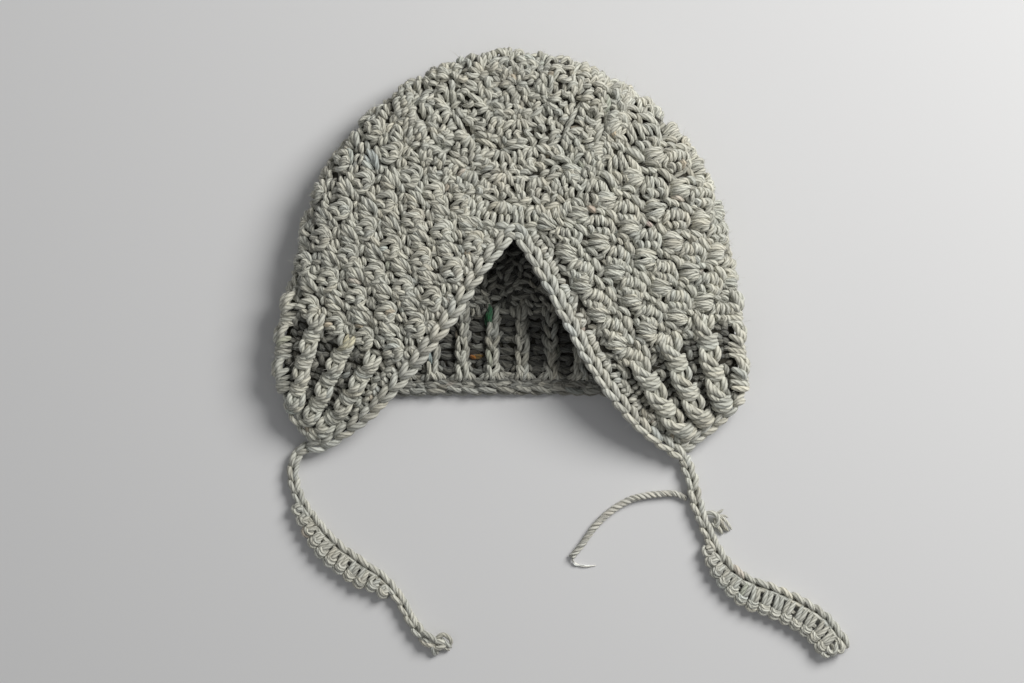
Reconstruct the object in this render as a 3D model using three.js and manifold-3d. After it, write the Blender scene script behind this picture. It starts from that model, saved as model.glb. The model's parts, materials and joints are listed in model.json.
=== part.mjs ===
// Crochet bonnet, lying flat on its back with the face opening up.
// Millimetres, +Z up. +Y points to the crown, +X to the right as seen from above.
import * as THREE from 'three';
import { mergeVertices } from 'three/addons/utils/BufferGeometryUtils.js';
import Module from 'manifold-3d';

// ---------------------------------------------------------------- named sizes
const WALL = 5.6;             // thickness of the worked fabric
const CENTRE_X = 1.4;         // line of the crown centre, the split and the back centre
const CROWN_Y = 75;           // crown centre, on the upper layer
const TOP_FOLD = 19.7;        // row distance at which the rounds go over the top fold
const SIDE_FOLD = 48;         // row distance from which the rounds cross the side folds
const SPLIT = 66.7;           // row distance of the top of the face opening
const RIB_START = 148.1;      // row distance at which the ribbing starts
const HEM = 197.8;            // row distance of the finished edge
const GAP = 0.4;              // gap between touching pieces
const FLOOR_LAYER = WALL / 2; // mid height of the layer that lies on the floor
const EDGING_R = 3.5;         // radius of the chain border
const TIE_R = 2.9;            // radius of a chain tie
const BAND_HIGH = 2.6;        // half height of the second row beside a tie
const TAIL_R = 1.7;           // radius of the loose yarn end
const RIBS_BACK = 9;          // ribs from the back centre to a side fold
const RIBS_FLAP = 4;          // ribs from a side fold to the face opening
const FOLD_COLUMN = 20 / 37;  // place of the side fold among the columns of a half row
const RIB_CREST = 0.7;        // how far a rib stands out of the wall
const RIB_GROOVE = 1.3;       // how far the wall is drawn in between the ribs
const SHIFT = [0.14, 3.52];   // moves the middle of the outline to the origin

// Rows of the fabric by their distance from the crown centre.
//   front_z      height beside the face opening (or on the centre line above it)
//   shoulder_z   height of the upper layer just inside the side fold
//   fold_y/fold_z where the row crosses the side fold
//   round        plan width of the rounded fold
//   bow_l/bow_r  how flat the row runs from the fold to the front (1 = round arc)
const ROWS = [
  { t: 0,     front_z: 22.0, shoulder_z: 22.0, fold_y: 75.0,  fold_z: 12.0, round: 13.0, bow_l: 1.0, bow_r: 1.0 },
  { t: 17,    front_z: 23.3, shoulder_z: 22.6, fold_y: 75.0,  fold_z: 12.2, round: 13.0, bow_l: 1.0, bow_r: 1.0 },
  { t: 48,    front_z: 26.4, shoulder_z: 23.4, fold_y: 75.0,  fold_z: 12.6, round: 13.0, bow_l: 1.0, bow_r: 1.0 },
  { t: 66.7,  front_z: 27.8, shoulder_z: 23.4, fold_y: 62.5,  fold_z: 13.0, round: 13.0, bow_l: 1.3, bow_r: 1.3 },
  { t: 81.4,  front_z: 28.2, shoulder_z: 23.0, fold_y: 48.1,  fold_z: 13.0, round: 13.0, bow_l: 1.6, bow_r: 1.6 },
  { t: 96.1,  front_z: 27.8, shoulder_z: 22.5, fold_y: 31.9,  fold_z: 13.0, round: 12.5, bow_l: 1.8, bow_r: 1.8 },
  { t: 112.7, front_z: 26.2, shoulder_z: 21.6, fold_y: 13.8,  fold_z: 12.6, round: 12.0, bow_l: 2.0, bow_r: 2.0 },
  { t: 130.2, front_z: 23.4, shoulder_z: 20.2, fold_y: -3.3,  fold_z: 12.2, round: 11.0, bow_l: 2.0, bow_r: 2.0 },
  { t: 148.1, front_z: 19.6, shoulder_z: 18.6, fold_y: -22.1, fold_z: 11.6, round: 9.5,  bow_l: 1.9, bow_r: 2.0 },
  { t: 171.1, front_z: 13.6, shoulder_z: 16.2, fold_y: -44.4, fold_z: 10.4, round: 7.5,  bow_l: 1.5, bow_r: 2.0 },
  { t: 183.1, front_z: 9.2,  shoulder_z: 14.6, fold_y: -56.0, fold_z: 9.4,  round: 6.5,  bow_l: 1.35, bow_r: 1.9 },
  { t: 197.8, front_z: 4.2,  shoulder_z: 12.6, fold_y: -67.0, fold_z: 8.4,  round: 5.5,  bow_l: 1.3, bow_r: 1.8 },
];

// Outline of the folded fabric (middle of the wall) by height along Y.
const OUTLINE = [
  { y: -84.0, left: -101.5, right: 106.5 },
  { y: -68.5, left: -103.2, right: 105.4 },
  { y: -56.1, left: -105.1, right: 104.5 },
  { y: -44.4, left: -104.8, right: 103.4 },
  { y: -22.1, left: -101.0, right: 101.2 },
  { y: -3.3,  left: -97.6,  right: 98.7 },
  { y: 13.8,  left: -93.3,  right: 94.9 },
  { y: 31.9,  left: -86.3,  right: 88.6 },
  { y: 48.1,  left: -76.9,  right: 79.2 },
  { y: 62.5,  left: -63.0,  right: 66.0 },
  { y: 72.0,  left: -51.0,  right: 53.0 },
  { y: 79.0,  left: -39.0,  right: 41.0 },
  { y: 84.6,  left: -26.0,  right: 28.0 },
  { y: 88.2,  left: -12.0,  right: 14.0 },
  { y: 89.2,  left: 1.4,    right: 1.4 },
];

// Centre line over the top fold and down the back.
const BACK = [
  { t: 19.7, y: 89.2 }, { t: 27, y: 86.6 }, { t: 35, y: 79.0 }, { t: 48, y: 67.2 },
  { t: 81.4, y: 36.0 }, { t: 112.7, y: 7.0 }, { t: 148.1, y: -25.8 }, { t: 197.8, y: -63.5 },
];

// Sides of the face opening, row by row.
const OPENING = [
  { t: 66.7,  left_x: 1.4,   left_y: 8.3,   right_x: 1.4,  right_y: 8.3 },
  { t: 76.0,  left_x: -6.6,  left_y: 0.6,   right_x: 7.6,  right_y: 0.6 },
  { t: 94.7,  left_x: -17.9, left_y: -14.7, right_x: 16.7, right_y: -15.4 },
  { t: 119.1, left_x: -30.4, left_y: -34.0, right_x: 27.5, right_y: -35.2 },
  { t: 141.4, left_x: -43.7, left_y: -50.6, right_x: 37.3, right_y: -53.0 },
  { t: 161.3, left_x: -56.1, left_y: -64.9, right_x: 48.5, right_y: -68.4 },
  { t: 180.3, left_x: -69.0, left_y: -77.7, right_x: 60.7, right_y: -81.8 },
  { t: 197.8, left_x: -86.6, left_y: -89.6, right_x: 75.6, right_y: -92.6 },
];

// Routes of the loose cords on the floor, from the flap corners outwards.
const LEFT_TIE = [
  { x: -95.0, y: -91.0 }, { x: -98.8, y: -93.6 }, { x: -100.8, y: -98.0 }, { x: -101.3, y: -104.6 },
  { x: -99.8, y: -111.9 }, { x: -96.0, y: -118.7 }, { x: -91.7, y: -124.8 }, { x: -86.6, y: -131.2 },
  { x: -80.1, y: -137.4 }, { x: -73.7, y: -142.0 }, { x: -67.2, y: -146.8 }, { x: -60.9, y: -150.9 },
  { x: -56.3, y: -155.9 }, { x: -51.4, y: -162.1 }, { x: -47.1, y: -170.5 }, { x: -42.4, y: -177.1 },
  { x: -36.7, y: -182.0 }, { x: -30.0, y: -181.8 },
];
const RIGHT_TIE = [
  { x: 79.7, y: -96.6 }, { x: 81.5, y: -101.0 }, { x: 83.1, y: -105.6 }, { x: 85.1, y: -115.5 },
  { x: 88.0, y: -124.1 }, { x: 91.9, y: -132.9 }, { x: 95.4, y: -140.3 }, { x: 100.3, y: -146.6 },
  { x: 110.7, y: -153.5 }, { x: 122.1, y: -157.7 }, { x: 133.5, y: -163.0 }, { x: 144.6, y: -170.4 },
  { x: 151.3, y: -178.4 }, { x: 155.6, y: -183.8 },
];
const TAIL = [
  { x: 80.9, y: -114.9 }, { x: 75.5, y: -112.6 }, { x: 69.5, y: -112.7 }, { x: 62.6, y: -113.4 },
  { x: 54.7, y: -115.4 }, { x: 45.8, y: -120.7 }, { x: 38.5, y: -127.7 }, { x: 32.6, y: -136.0 },
  { x: 27.6, y: -142.0 },
];
// Stretch of each tie that is widened by a second row, as shares of the tie's length.
const LEFT_BAND = { from: 0.25, to: 0.69, half: 2.8 };
const RIGHT_BAND = { from: 0.41, to: 0.97, half: 3.9 };
const TUFT = { x: 97.6, y: -127.4, z: 2.4, size: [4.4, 2.0, 2.0], turn: -0.43 };

// ---------------------------------------------------------------- interpolation
// Smooth curve through the rows of a table that never overshoots them.
function column(table, name) {
  const x = table.map((r) => r.t);
  const y = table.map((r) => r[name]);
  const n = x.length;
  const d = [];
  for (let i = 0; i < n - 1; i++) d.push((y[i + 1] - y[i]) / (x[i + 1] - x[i]));
  const m = new Array(n).fill(0);
  for (let i = 1; i < n - 1; i++) {
    if (d[i - 1] * d[i] > 0) {
      const h0 = x[i] - x[i - 1], h1 = x[i + 1] - x[i];
      const w0 = 2 * h1 + h0, w1 = h1 + 2 * h0;
      m[i] = (w0 + w1) / (w0 / d[i - 1] + w1 / d[i]);
    }
  }
  m[0] = d[0];
  m[n - 1] = d[n - 2];
  return (v) => {
    let i = 0;
    while (i < n - 2 && v > x[i + 1]) i++;
    const h = x[i + 1] - x[i];
    const s = (v - x[i]) / h;
    if (s < 0) return y[i] + m[i] * (v - x[i]);
    if (s > 1) return y[i + 1] + m[i + 1] * (v - x[i + 1]);
    const s2 = s * s, s3 = s2 * s;
    return y[i] * (2 * s3 - 3 * s2 + 1) + h * m[i] * (s3 - 2 * s2 + s)
      + y[i + 1] * (3 * s2 - 2 * s3) + h * m[i + 1] * (s3 - s2);
  };
}
const row = {};
for (const name of ['front_z', 'shoulder_z', 'fold_y', 'fold_z', 'round', 'bow_l', 'bow_r']) row[name] = column(ROWS, name);
const backY = column(BACK, 'y');
const opening = {};
for (const name of ['left_x', 'left_y', 'right_x', 'right_y']) opening[name] = column(OPENING, name);

// ---------------------------------------------------------------- outline
const outline = new THREE.CatmullRomCurve3([
  ...OUTLINE.map((r) => new THREE.Vector3(r.left, r.y, 0)),
  ...OUTLINE.slice(0, -1).reverse().map((r) => new THREE.Vector3(r.right, r.y, 0)),
], false, 'centripetal').getPoints(220);

// Distance from a plan point to the side fold, negative outside it.
function inset(x, y) {
  let best = Infinity, sign = 1;
  for (let i = 0; i + 1 < outline.length; i++) {
    const a = outline[i], b = outline[i + 1];
    const ux = b.x - a.x, uy = b.y - a.y;
    const k = Math.min(1, Math.max(0, ((x - a.x) * ux + (y - a.y) * uy) / (ux * ux + uy * uy)));
    const dx = x - (a.x + k * ux), dy = y - (a.y + k * uy);
    const d = Math.hypot(dx, dy);
    if (d < best) { best = d; sign = (uy * dx - ux * dy) >= 0 ? 1 : -1; }
  }
  return best * sign;
}
function foldX(side, y) {
  const half = side < 0 ? outline.slice(0, 111) : outline.slice(110).reverse();
  for (let i = 0; i + 1 < half.length; i++) {
    const a = half[i], b = half[i + 1];
    if ((a.y - y) * (b.y - y) <= 0 && a.y !== b.y) return a.x + (b.x - a.x) * (y - a.y) / (b.y - a.y);
  }
  return CENTRE_X;
}
const roundOff = (u) => { const v = 1 - Math.min(1, Math.max(0, u)); return Math.sqrt(1 - v * v); };

// ---------------------------------------------------------------- one row of fabric
// Points of a half row, from the back centre over the side fold to the front.
const STEPS = 60;
function halfRow(side, t) {
  const foldY = t < SIDE_FOLD ? CROWN_Y : row.fold_y(t);
  const a = t < SIDE_FOLD
    ? t * Math.abs(foldX(side, CROWN_Y) - CENTRE_X) / SIDE_FOLD
    : Math.abs(foldX(side, foldY) - CENTRE_X);
  const bow = side < 0 ? row.bow_l(t) : row.bow_r(t);
  let frontX = CENTRE_X, frontY = CROWN_Y - t;
  if (t > SPLIT) {
    frontX = opening[side < 0 ? 'left_x' : 'right_x'](t);
    frontY = opening[side < 0 ? 'left_y' : 'right_y'](t);
  }
  const startAngle = Math.asin(Math.min(0.999, Math.abs(frontX - CENTRE_X) / Math.max(a, 1e-6)));
  const startCos = Math.cos(startAngle);
  const reach = (frontY - foldY) / startCos ** bow;
  // behind the crown centre the upper layer is foreshortened by its slope
  const behind = t < TOP_FOLD ? t * (1 - 0.28 * (t / TOP_FOLD) ** 2) : t * 0.72 + (t - TOP_FOLD) * 0.28 * 1.6;
  const plan = (angle) => {
    const c = Math.cos(angle), s = Math.sin(angle);
    return [CENTRE_X + side * a * s, foldY + (c >= 0 ? reach * c ** bow : behind * -c)];
  };
  // angle at which the row meets the fold
  let foldAngle = Math.PI / 2;
  if (t <= TOP_FOLD) foldAngle = Math.PI;
  else if (t < SIDE_FOLD) {
    let lo = Math.PI / 2, hi = Math.PI;
    for (let i = 0; i < 40; i++) {
      const mid = (lo + hi) / 2;
      if (inset(...plan(mid)) > 0) lo = mid; else hi = mid;
    }
    foldAngle = lo;
  }
  const frontZ = row.front_z(t), shoulderZ = row.shoulder_z(t), foldZ = row.fold_z(t), width = row.round(t);
  const upper = [];
  for (let i = 0; i <= STEPS; i++) {
    const k = i / STEPS;
    const angle = startAngle + (foldAngle - startAngle) * (1 - (1 - k) ** (t < SIDE_FOLD && t > TOP_FOLD ? 2 : 1.3));
    const [x, y] = plan(angle);
    const towards = Math.max(0, Math.cos(angle)) / startCos;
    const z = shoulderZ + (frontZ - shoulderZ) * towards ** 1.2;
    const d = t <= TOP_FOLD || i < STEPS ? inset(x, y) : 0;
    upper.push(new THREE.Vector3(x, y, foldZ + (z - foldZ) * roundOff(d / width)));
  }
  if (t <= TOP_FOLD) return { points: upper.reverse(), fold: 0 };
  const [fx, fy] = plan(foldAngle);
  const lower = [];
  const by = backY(t);
  for (let i = 0; i < STEPS; i++) {
    const k = (i / STEPS) ** 1.0;               // 0 at the back centre, 1 at the fold
    const c = Math.sin(k * Math.PI / 2);
    const x = CENTRE_X + (fx - CENTRE_X) * c;
    const y = by + (fy - by) * (1 - Math.sqrt(Math.max(0, 1 - c * c)) ** 1.5);
    lower.push(new THREE.Vector3(x, y, foldZ + (FLOOR_LAYER - foldZ) * roundOff(inset(x, y) / (width * 0.85))));
  }
  return { points: [...lower, ...upper.reverse()], fold: STEPS };
}
const rowCache = new Map();
function measuredRow(side, t) {
  const key = side + ':' + t.toFixed(4);
  if (!rowCache.has(key)) {
    const { points, fold } = halfRow(side, t);
    const length = [0];
    for (let i = 1; i < points.length; i++) length.push(length[i - 1] + points[i].distanceTo(points[i - 1]));
    rowCache.set(key, { points, length, fold });
  }
  return rowCache.get(key);
}
// Point at a share of a half row: 0 back centre, 1 front.
function at(side, t, share) {
  const { points, length } = measuredRow(side, t);
  const target = share * length[length.length - 1];
  let i = 0;
  while (i < length.length - 2 && length[i + 1] < target) i++;
  const k = (target - length[i]) / Math.max(1e-9, length[i + 1] - length[i]);
  return points[i].clone().lerp(points[i + 1], Math.min(1, Math.max(0, k)));
}
// Share of a half row for a column of the main fabric: even steps near the crown
// centre, and one column along the side fold from where the rows cross it.
function columnShare(side, t, k) {
  const { length, fold } = measuredRow(side, t);
  if (fold === 0) return k;
  const back = length[fold] / length[length.length - 1];
  const aligned = k <= FOLD_COLUMN ? back * k / FOLD_COLUMN : back + (1 - back) * (k - FOLD_COLUMN) / (1 - FOLD_COLUMN);
  const w = Math.min(1, Math.max(0, (t - 26) / 30));
  return k + (aligned - k) * w * w * (3 - 2 * w);
}
// Share of a half row for a rib number, counted from the back centre.
function ribShare(side, t, rib) {
  const { length, fold } = measuredRow(side, t);
  const all = length[length.length - 1], back = length[fold];
  return (rib <= RIBS_BACK ? back * rib / RIBS_BACK : back + (all - back) * (rib - RIBS_BACK) / RIBS_FLAP) / all;
}

// Outward normal of the fabric.
const dT = 0.6, dS = 0.006;
function normalAt(side, t, share) {
  if (t < 1) return new THREE.Vector3(0, 0, 1);
  const t0 = Math.max(0.5, t - dT), t1 = Math.min(HEM, t + dT);
  const s0 = Math.max(0, share - dS), s1 = Math.min(1, share + dS);
  const along = at(side, t, s1).sub(at(side, t, s0));
  const down = at(side, t1, share).sub(at(side, t0, share));
  const n = new THREE.Vector3().crossVectors(along, down).multiplyScalar(side);
  return n.normalize();
}

// ---------------------------------------------------------------- wall builder
// Closed wall between two rows. columns: list of { side, share(t) }, from the left
// front edge round the back to the right front edge.
function wall(rows, columns, thickness) {
  const verts = [];
  const faces = [];
  const add = (p) => { verts.push(p.x, p.y, p.z); return verts.length / 3 - 1; };
  const n = columns.length;
  const outer = [], inner = [];
  for (const t of rows) {
    const o = [], q = [];
    for (let j = 0; j < n; j++) {
      const closed = t <= SPLIT && j === n - 1;
      if (closed || (t === 0 && j > 0)) { o.push(o[0]); q.push(q[0]); continue; }
      const c = columns[j];
      const p = at(c.side, t, c.share(t));
      let normal = normalAt(c.side, t, c.share(t));
      if ((j === 0 && t <= SPLIT) || c.share(t) === 0) { normal.x = 0; normal.normalize(); }
      const [out, into] = thickness(c, t);
      const a = p.clone().addScaledVector(normal, out);
      const b = p.clone().addScaledVector(normal, -into);
      if (normal.z < 0) {
        // the layer on the floor is pressed flat
        if (a.z < 0.35 - (out - WALL / 2) * 0.5) a.z = Math.max(0, WALL / 2 - out);
      }
      a.z = Math.max(a.z, 0);
      o.push(add(a));
      q.push(add(b));
    }
    outer.push(o);
    inner.push(q);
  }
  const tri = (a, b, c) => { if (a !== b && b !== c && a !== c) faces.push(a, b, c); };
  // the diagonals of the left half mirror those of the right half
  const quad = (a, b, c, d, mirrored = false) => {
    if (mirrored) { tri(a, d, b); tri(b, d, c); } else { tri(a, c, b); tri(a, d, c); }
  };
  const r = rows.length;
  for (let i = 0; i + 1 < r; i++) {
    for (let j = 0; j + 1 < n; j++) {
      const mirrored = columns[j].side < 0;
      quad(outer[i][j], outer[i + 1][j], outer[i + 1][j + 1], outer[i][j + 1], mirrored);
      quad(inner[i][j], inner[i][j + 1], inner[i + 1][j + 1], inner[i + 1][j], mirrored);
    }
    if (rows[i + 1] > SPLIT) {
      quad(outer[i][0], inner[i][0], inner[i + 1][0], outer[i + 1][0]);
      quad(outer[i][n - 1], outer[i + 1][n - 1], inner[i + 1][n - 1], inner[i][n - 1]);
    }
  }
  for (let j = 0; j + 1 < n; j++) {
    quad(outer[r - 1][j], inner[r - 1][j], inner[r - 1][j + 1], outer[r - 1][j + 1]);
    if (rows[0] > 0) quad(outer[0][j], outer[0][j + 1], inner[0][j + 1], inner[0][j]);
  }
  const g = new THREE.BufferGeometry();
  g.setAttribute('position', new THREE.BufferAttribute(new Float32Array(verts), 3));
  g.setIndex(faces);
  return g;
}

// ---------------------------------------------------------------- solids and cuts
const wasm = await Module();
wasm.setup();
function solid(geometry) {
  const g = geometry.clone();
  g.deleteAttribute('normal');
  g.deleteAttribute('uv');
  const m = mergeVertices(g, 1e-4);
  return new wasm.Manifold(new wasm.Mesh({
    numProp: 3,
    vertProperties: new Float32Array(m.attributes.position.array),
    triVerts: new Uint32Array(m.index.array),
  }));
}
function fromSolid(s) {
  const m = s.getMesh();
  const g = new THREE.BufferGeometry();
  g.setAttribute('position', new THREE.BufferAttribute(new Float32Array(m.vertProperties), 3));
  g.setIndex(new THREE.BufferAttribute(new Uint32Array(m.triVerts), 1));
  g.computeVertexNormals();
  return g;
}
function section(radius, sides, high = radius) {
  const s = new THREE.Shape();
  for (let i = 0; i < sides; i++) {
    const a = (i + 0.5) / sides * Math.PI * 2;
    if (i === 0) s.moveTo(high * Math.cos(a), radius * Math.sin(a));
    else s.lineTo(high * Math.cos(a), radius * Math.sin(a));
  }
  s.closePath();
  return s;
}
function tube(points, radius, sides, steps, high = radius) {
  const curve = new THREE.CatmullRomCurve3(points, false, 'centripetal');
  curve.arcLengthDivisions = 400;
  return new THREE.ExtrudeGeometry(section(radius, sides, high), { steps, extrudePath: curve, bevelEnabled: false });
}

// ---------------------------------------------------------------- border of the face opening
// One chain runs from the end of the left tie along both sides of the opening
// to the end of the right tie.
const TIE_Z = TIE_R + 0.05;
const floorPath = (table, z) => table.map((r) => new THREE.Vector3(r.x, r.y, z));
const EDGE_ROWS = [197.2, 191, 185, 178, 170, 160, 148, 136, 124, 112, 100, 89, 79, 72.5];
const edgingPoints = [];
for (const t of EDGE_ROWS) edgingPoints.push(at(-1, t, 1));
const top = at(1, SPLIT, 1);
edgingPoints.push(new THREE.Vector3(CENTRE_X - 2.6, top.y - 1.0, top.z), new THREE.Vector3(CENTRE_X + 2.6, top.y - 1.0, top.z));
for (const t of [...EDGE_ROWS].reverse()) edgingPoints.push(at(1, t, 1));
for (const p of edgingPoints) p.z = Math.max(p.z, EDGING_R + 0.05);
const chain = new THREE.CatmullRomCurve3([
  ...floorPath(LEFT_TIE, TIE_Z).reverse(), ...edgingPoints, ...floorPath(RIGHT_TIE, TIE_Z),
], false, 'centripetal');
chain.arcLengthDivisions = 3000;
const chainLength = chain.getLength();
function nearestOnChain(x, y) {
  let best = 0, d = Infinity;
  for (let i = 0; i <= 2000; i++) {
    const p = chain.getPointAt(i / 2000);
    const e = Math.hypot(p.x - x, p.y - y);
    if (e < d) { d = e; best = i / 2000; }
  }
  return best;
}
const part = (u0, u1, steps) => Array.from({ length: steps + 1 }, (_, i) => chain.getPointAt(u0 + (u1 - u0) * i / steps));
const leftCorner = nearestOnChain(LEFT_TIE[0].x, LEFT_TIE[0].y);
const rightCorner = nearestOnChain(RIGHT_TIE[0].x, RIGHT_TIE[0].y);
const halfGap = GAP / chainLength;
const edging = part(leftCorner + halfGap, rightCorner - halfGap, 240);
for (const p of edging) p.z = Math.max(p.z, EDGING_R + 0.03);
const edgingGeometry = tube(edging, EDGING_R, 8, 84);
const edgingClear = solid(tube(edging, EDGING_R + GAP, 8, 84));

// ---------------------------------------------------------------- main fabric and ribbing
const CROWN_COLUMNS = 37;     // columns of a half row of the main fabric
const RIB_FACETS = 4;         // columns of one rib
const crownRows = [0, 6, 12, 17, 21, 25, 30, 36, 43, 50.5, 58.5, SPLIT, 77, 89, 101, 113, 125, 137, RIB_START - GAP / 2];
const crownColumns = [];
for (let j = 0; j < CROWN_COLUMNS; j++) crownColumns.push({ side: -1, share: (t) => columnShare(-1, t, 1 - j / CROWN_COLUMNS) });
for (let j = 0; j <= CROWN_COLUMNS; j++) crownColumns.push({ side: 1, share: (t) => columnShare(1, t, j / CROWN_COLUMNS) });
const crownWall = wall(crownRows, crownColumns, () => [WALL / 2, WALL / 2]);

const RIBS = RIBS_BACK + RIBS_FLAP;
const ribRows = [RIB_START + GAP / 2, 156, 164.5, 173, 181.5, 190, HEM];
const ribColumns = [];
for (let j = 0; j < RIBS * RIB_FACETS; j++) {
  const rib = RIBS - j / RIB_FACETS;
  ribColumns.push({ side: -1, rib, share: (t) => ribShare(-1, t, rib) });
}
for (let j = 0; j <= RIBS * RIB_FACETS; j++) {
  const rib = j / RIB_FACETS;
  ribColumns.push({ side: 1, rib, share: (t) => ribShare(1, t, rib) });
}
const ribWall = wall(ribRows, ribColumns, (c, t) => {
  const fade = Math.min(1, (t - RIB_START) / 8, (HEM - t) / 8 + 0.3);
  const wave = (phase) => {
    const k = 0.5 + 0.5 * Math.cos(2 * Math.PI * (c.rib - phase));
    return WALL / 2 + fade * (RIB_CREST * k - RIB_GROOVE * (1 - k));
  };
  return [wave(0), wave(0.5)];
});

function fabricMaterial(color) {
  return new THREE.MeshStandardMaterial({ color, roughness: 0.95, metalness: 0 });
}
const bonnet = new THREE.Group();
function piece(name, geometry, color) {
  geometry.computeVertexNormals();
  const mesh = new THREE.Mesh(geometry, fabricMaterial(color));
  mesh.name = name;
  bonnet.add(mesh);
  return mesh;
}
piece('crown_shell', fromSolid(solid(crownWall).subtract(edgingClear)), 0xb6b4a6);
piece('neck_ribbing', fromSolid(solid(ribWall).subtract(edgingClear)), 0xb0aea0);
piece('front_edging', edgingGeometry, 0xc4c2b6);

// ---------------------------------------------------------------- ties and loose ends
function stretch(from, to, offset, z, steps) {
  const out = [];
  for (let i = 0; i <= steps; i++) {
    const u = from + (to - from) * i / steps;
    const p = chain.getPointAt(u), d = chain.getTangentAt(u);
    out.push(new THREE.Vector3(p.x - d.y * offset, p.y + d.x * offset, z));
  }
  return out;
}
const beside = (band) => TIE_R + band.half + GAP;
const along = (corner, end, k) => corner + (end - corner) * k;
piece('left_tie', tube(part(leftCorner - halfGap, 0, 120), TIE_R, 8, 26), 0xb4b2a4);
piece('right_tie', tube(part(rightCorner + halfGap, 1, 120), TIE_R, 8, 26), 0xc2c0b4);
piece('left_tie_band', tube(stretch(along(leftCorner, 0, LEFT_BAND.from), along(leftCorner, 0, LEFT_BAND.to), -beside(LEFT_BAND), BAND_HIGH + 0.05, 14), LEFT_BAND.half, 8, 14, BAND_HIGH), 0xb4b2a4);
piece('right_tie_band', tube(stretch(along(rightCorner, 1, RIGHT_BAND.from), along(rightCorner, 1, RIGHT_BAND.to), -beside(RIGHT_BAND), BAND_HIGH + 0.05, 16), RIGHT_BAND.half, 8, 16, BAND_HIGH), 0xc2c0b4);
piece('yarn_tail', tube(floorPath(TAIL, TAIL_R + 0.05), TAIL_R, 8, 18), 0xaeaca0);
const tuft = new THREE.SphereGeometry(1, 10, 6);
tuft.scale(...TUFT.size);
const tuftMesh = piece('yarn_tuft', tuft, 0xc2c0b4);
tuftMesh.position.set(TUFT.x, TUFT.y, TUFT.z);
tuftMesh.rotation.z = TUFT.turn;

bonnet.position.set(SHIFT[0], SHIFT[1], 0);
bonnet.updateMatrixWorld(true);
export default bonnet;
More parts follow.
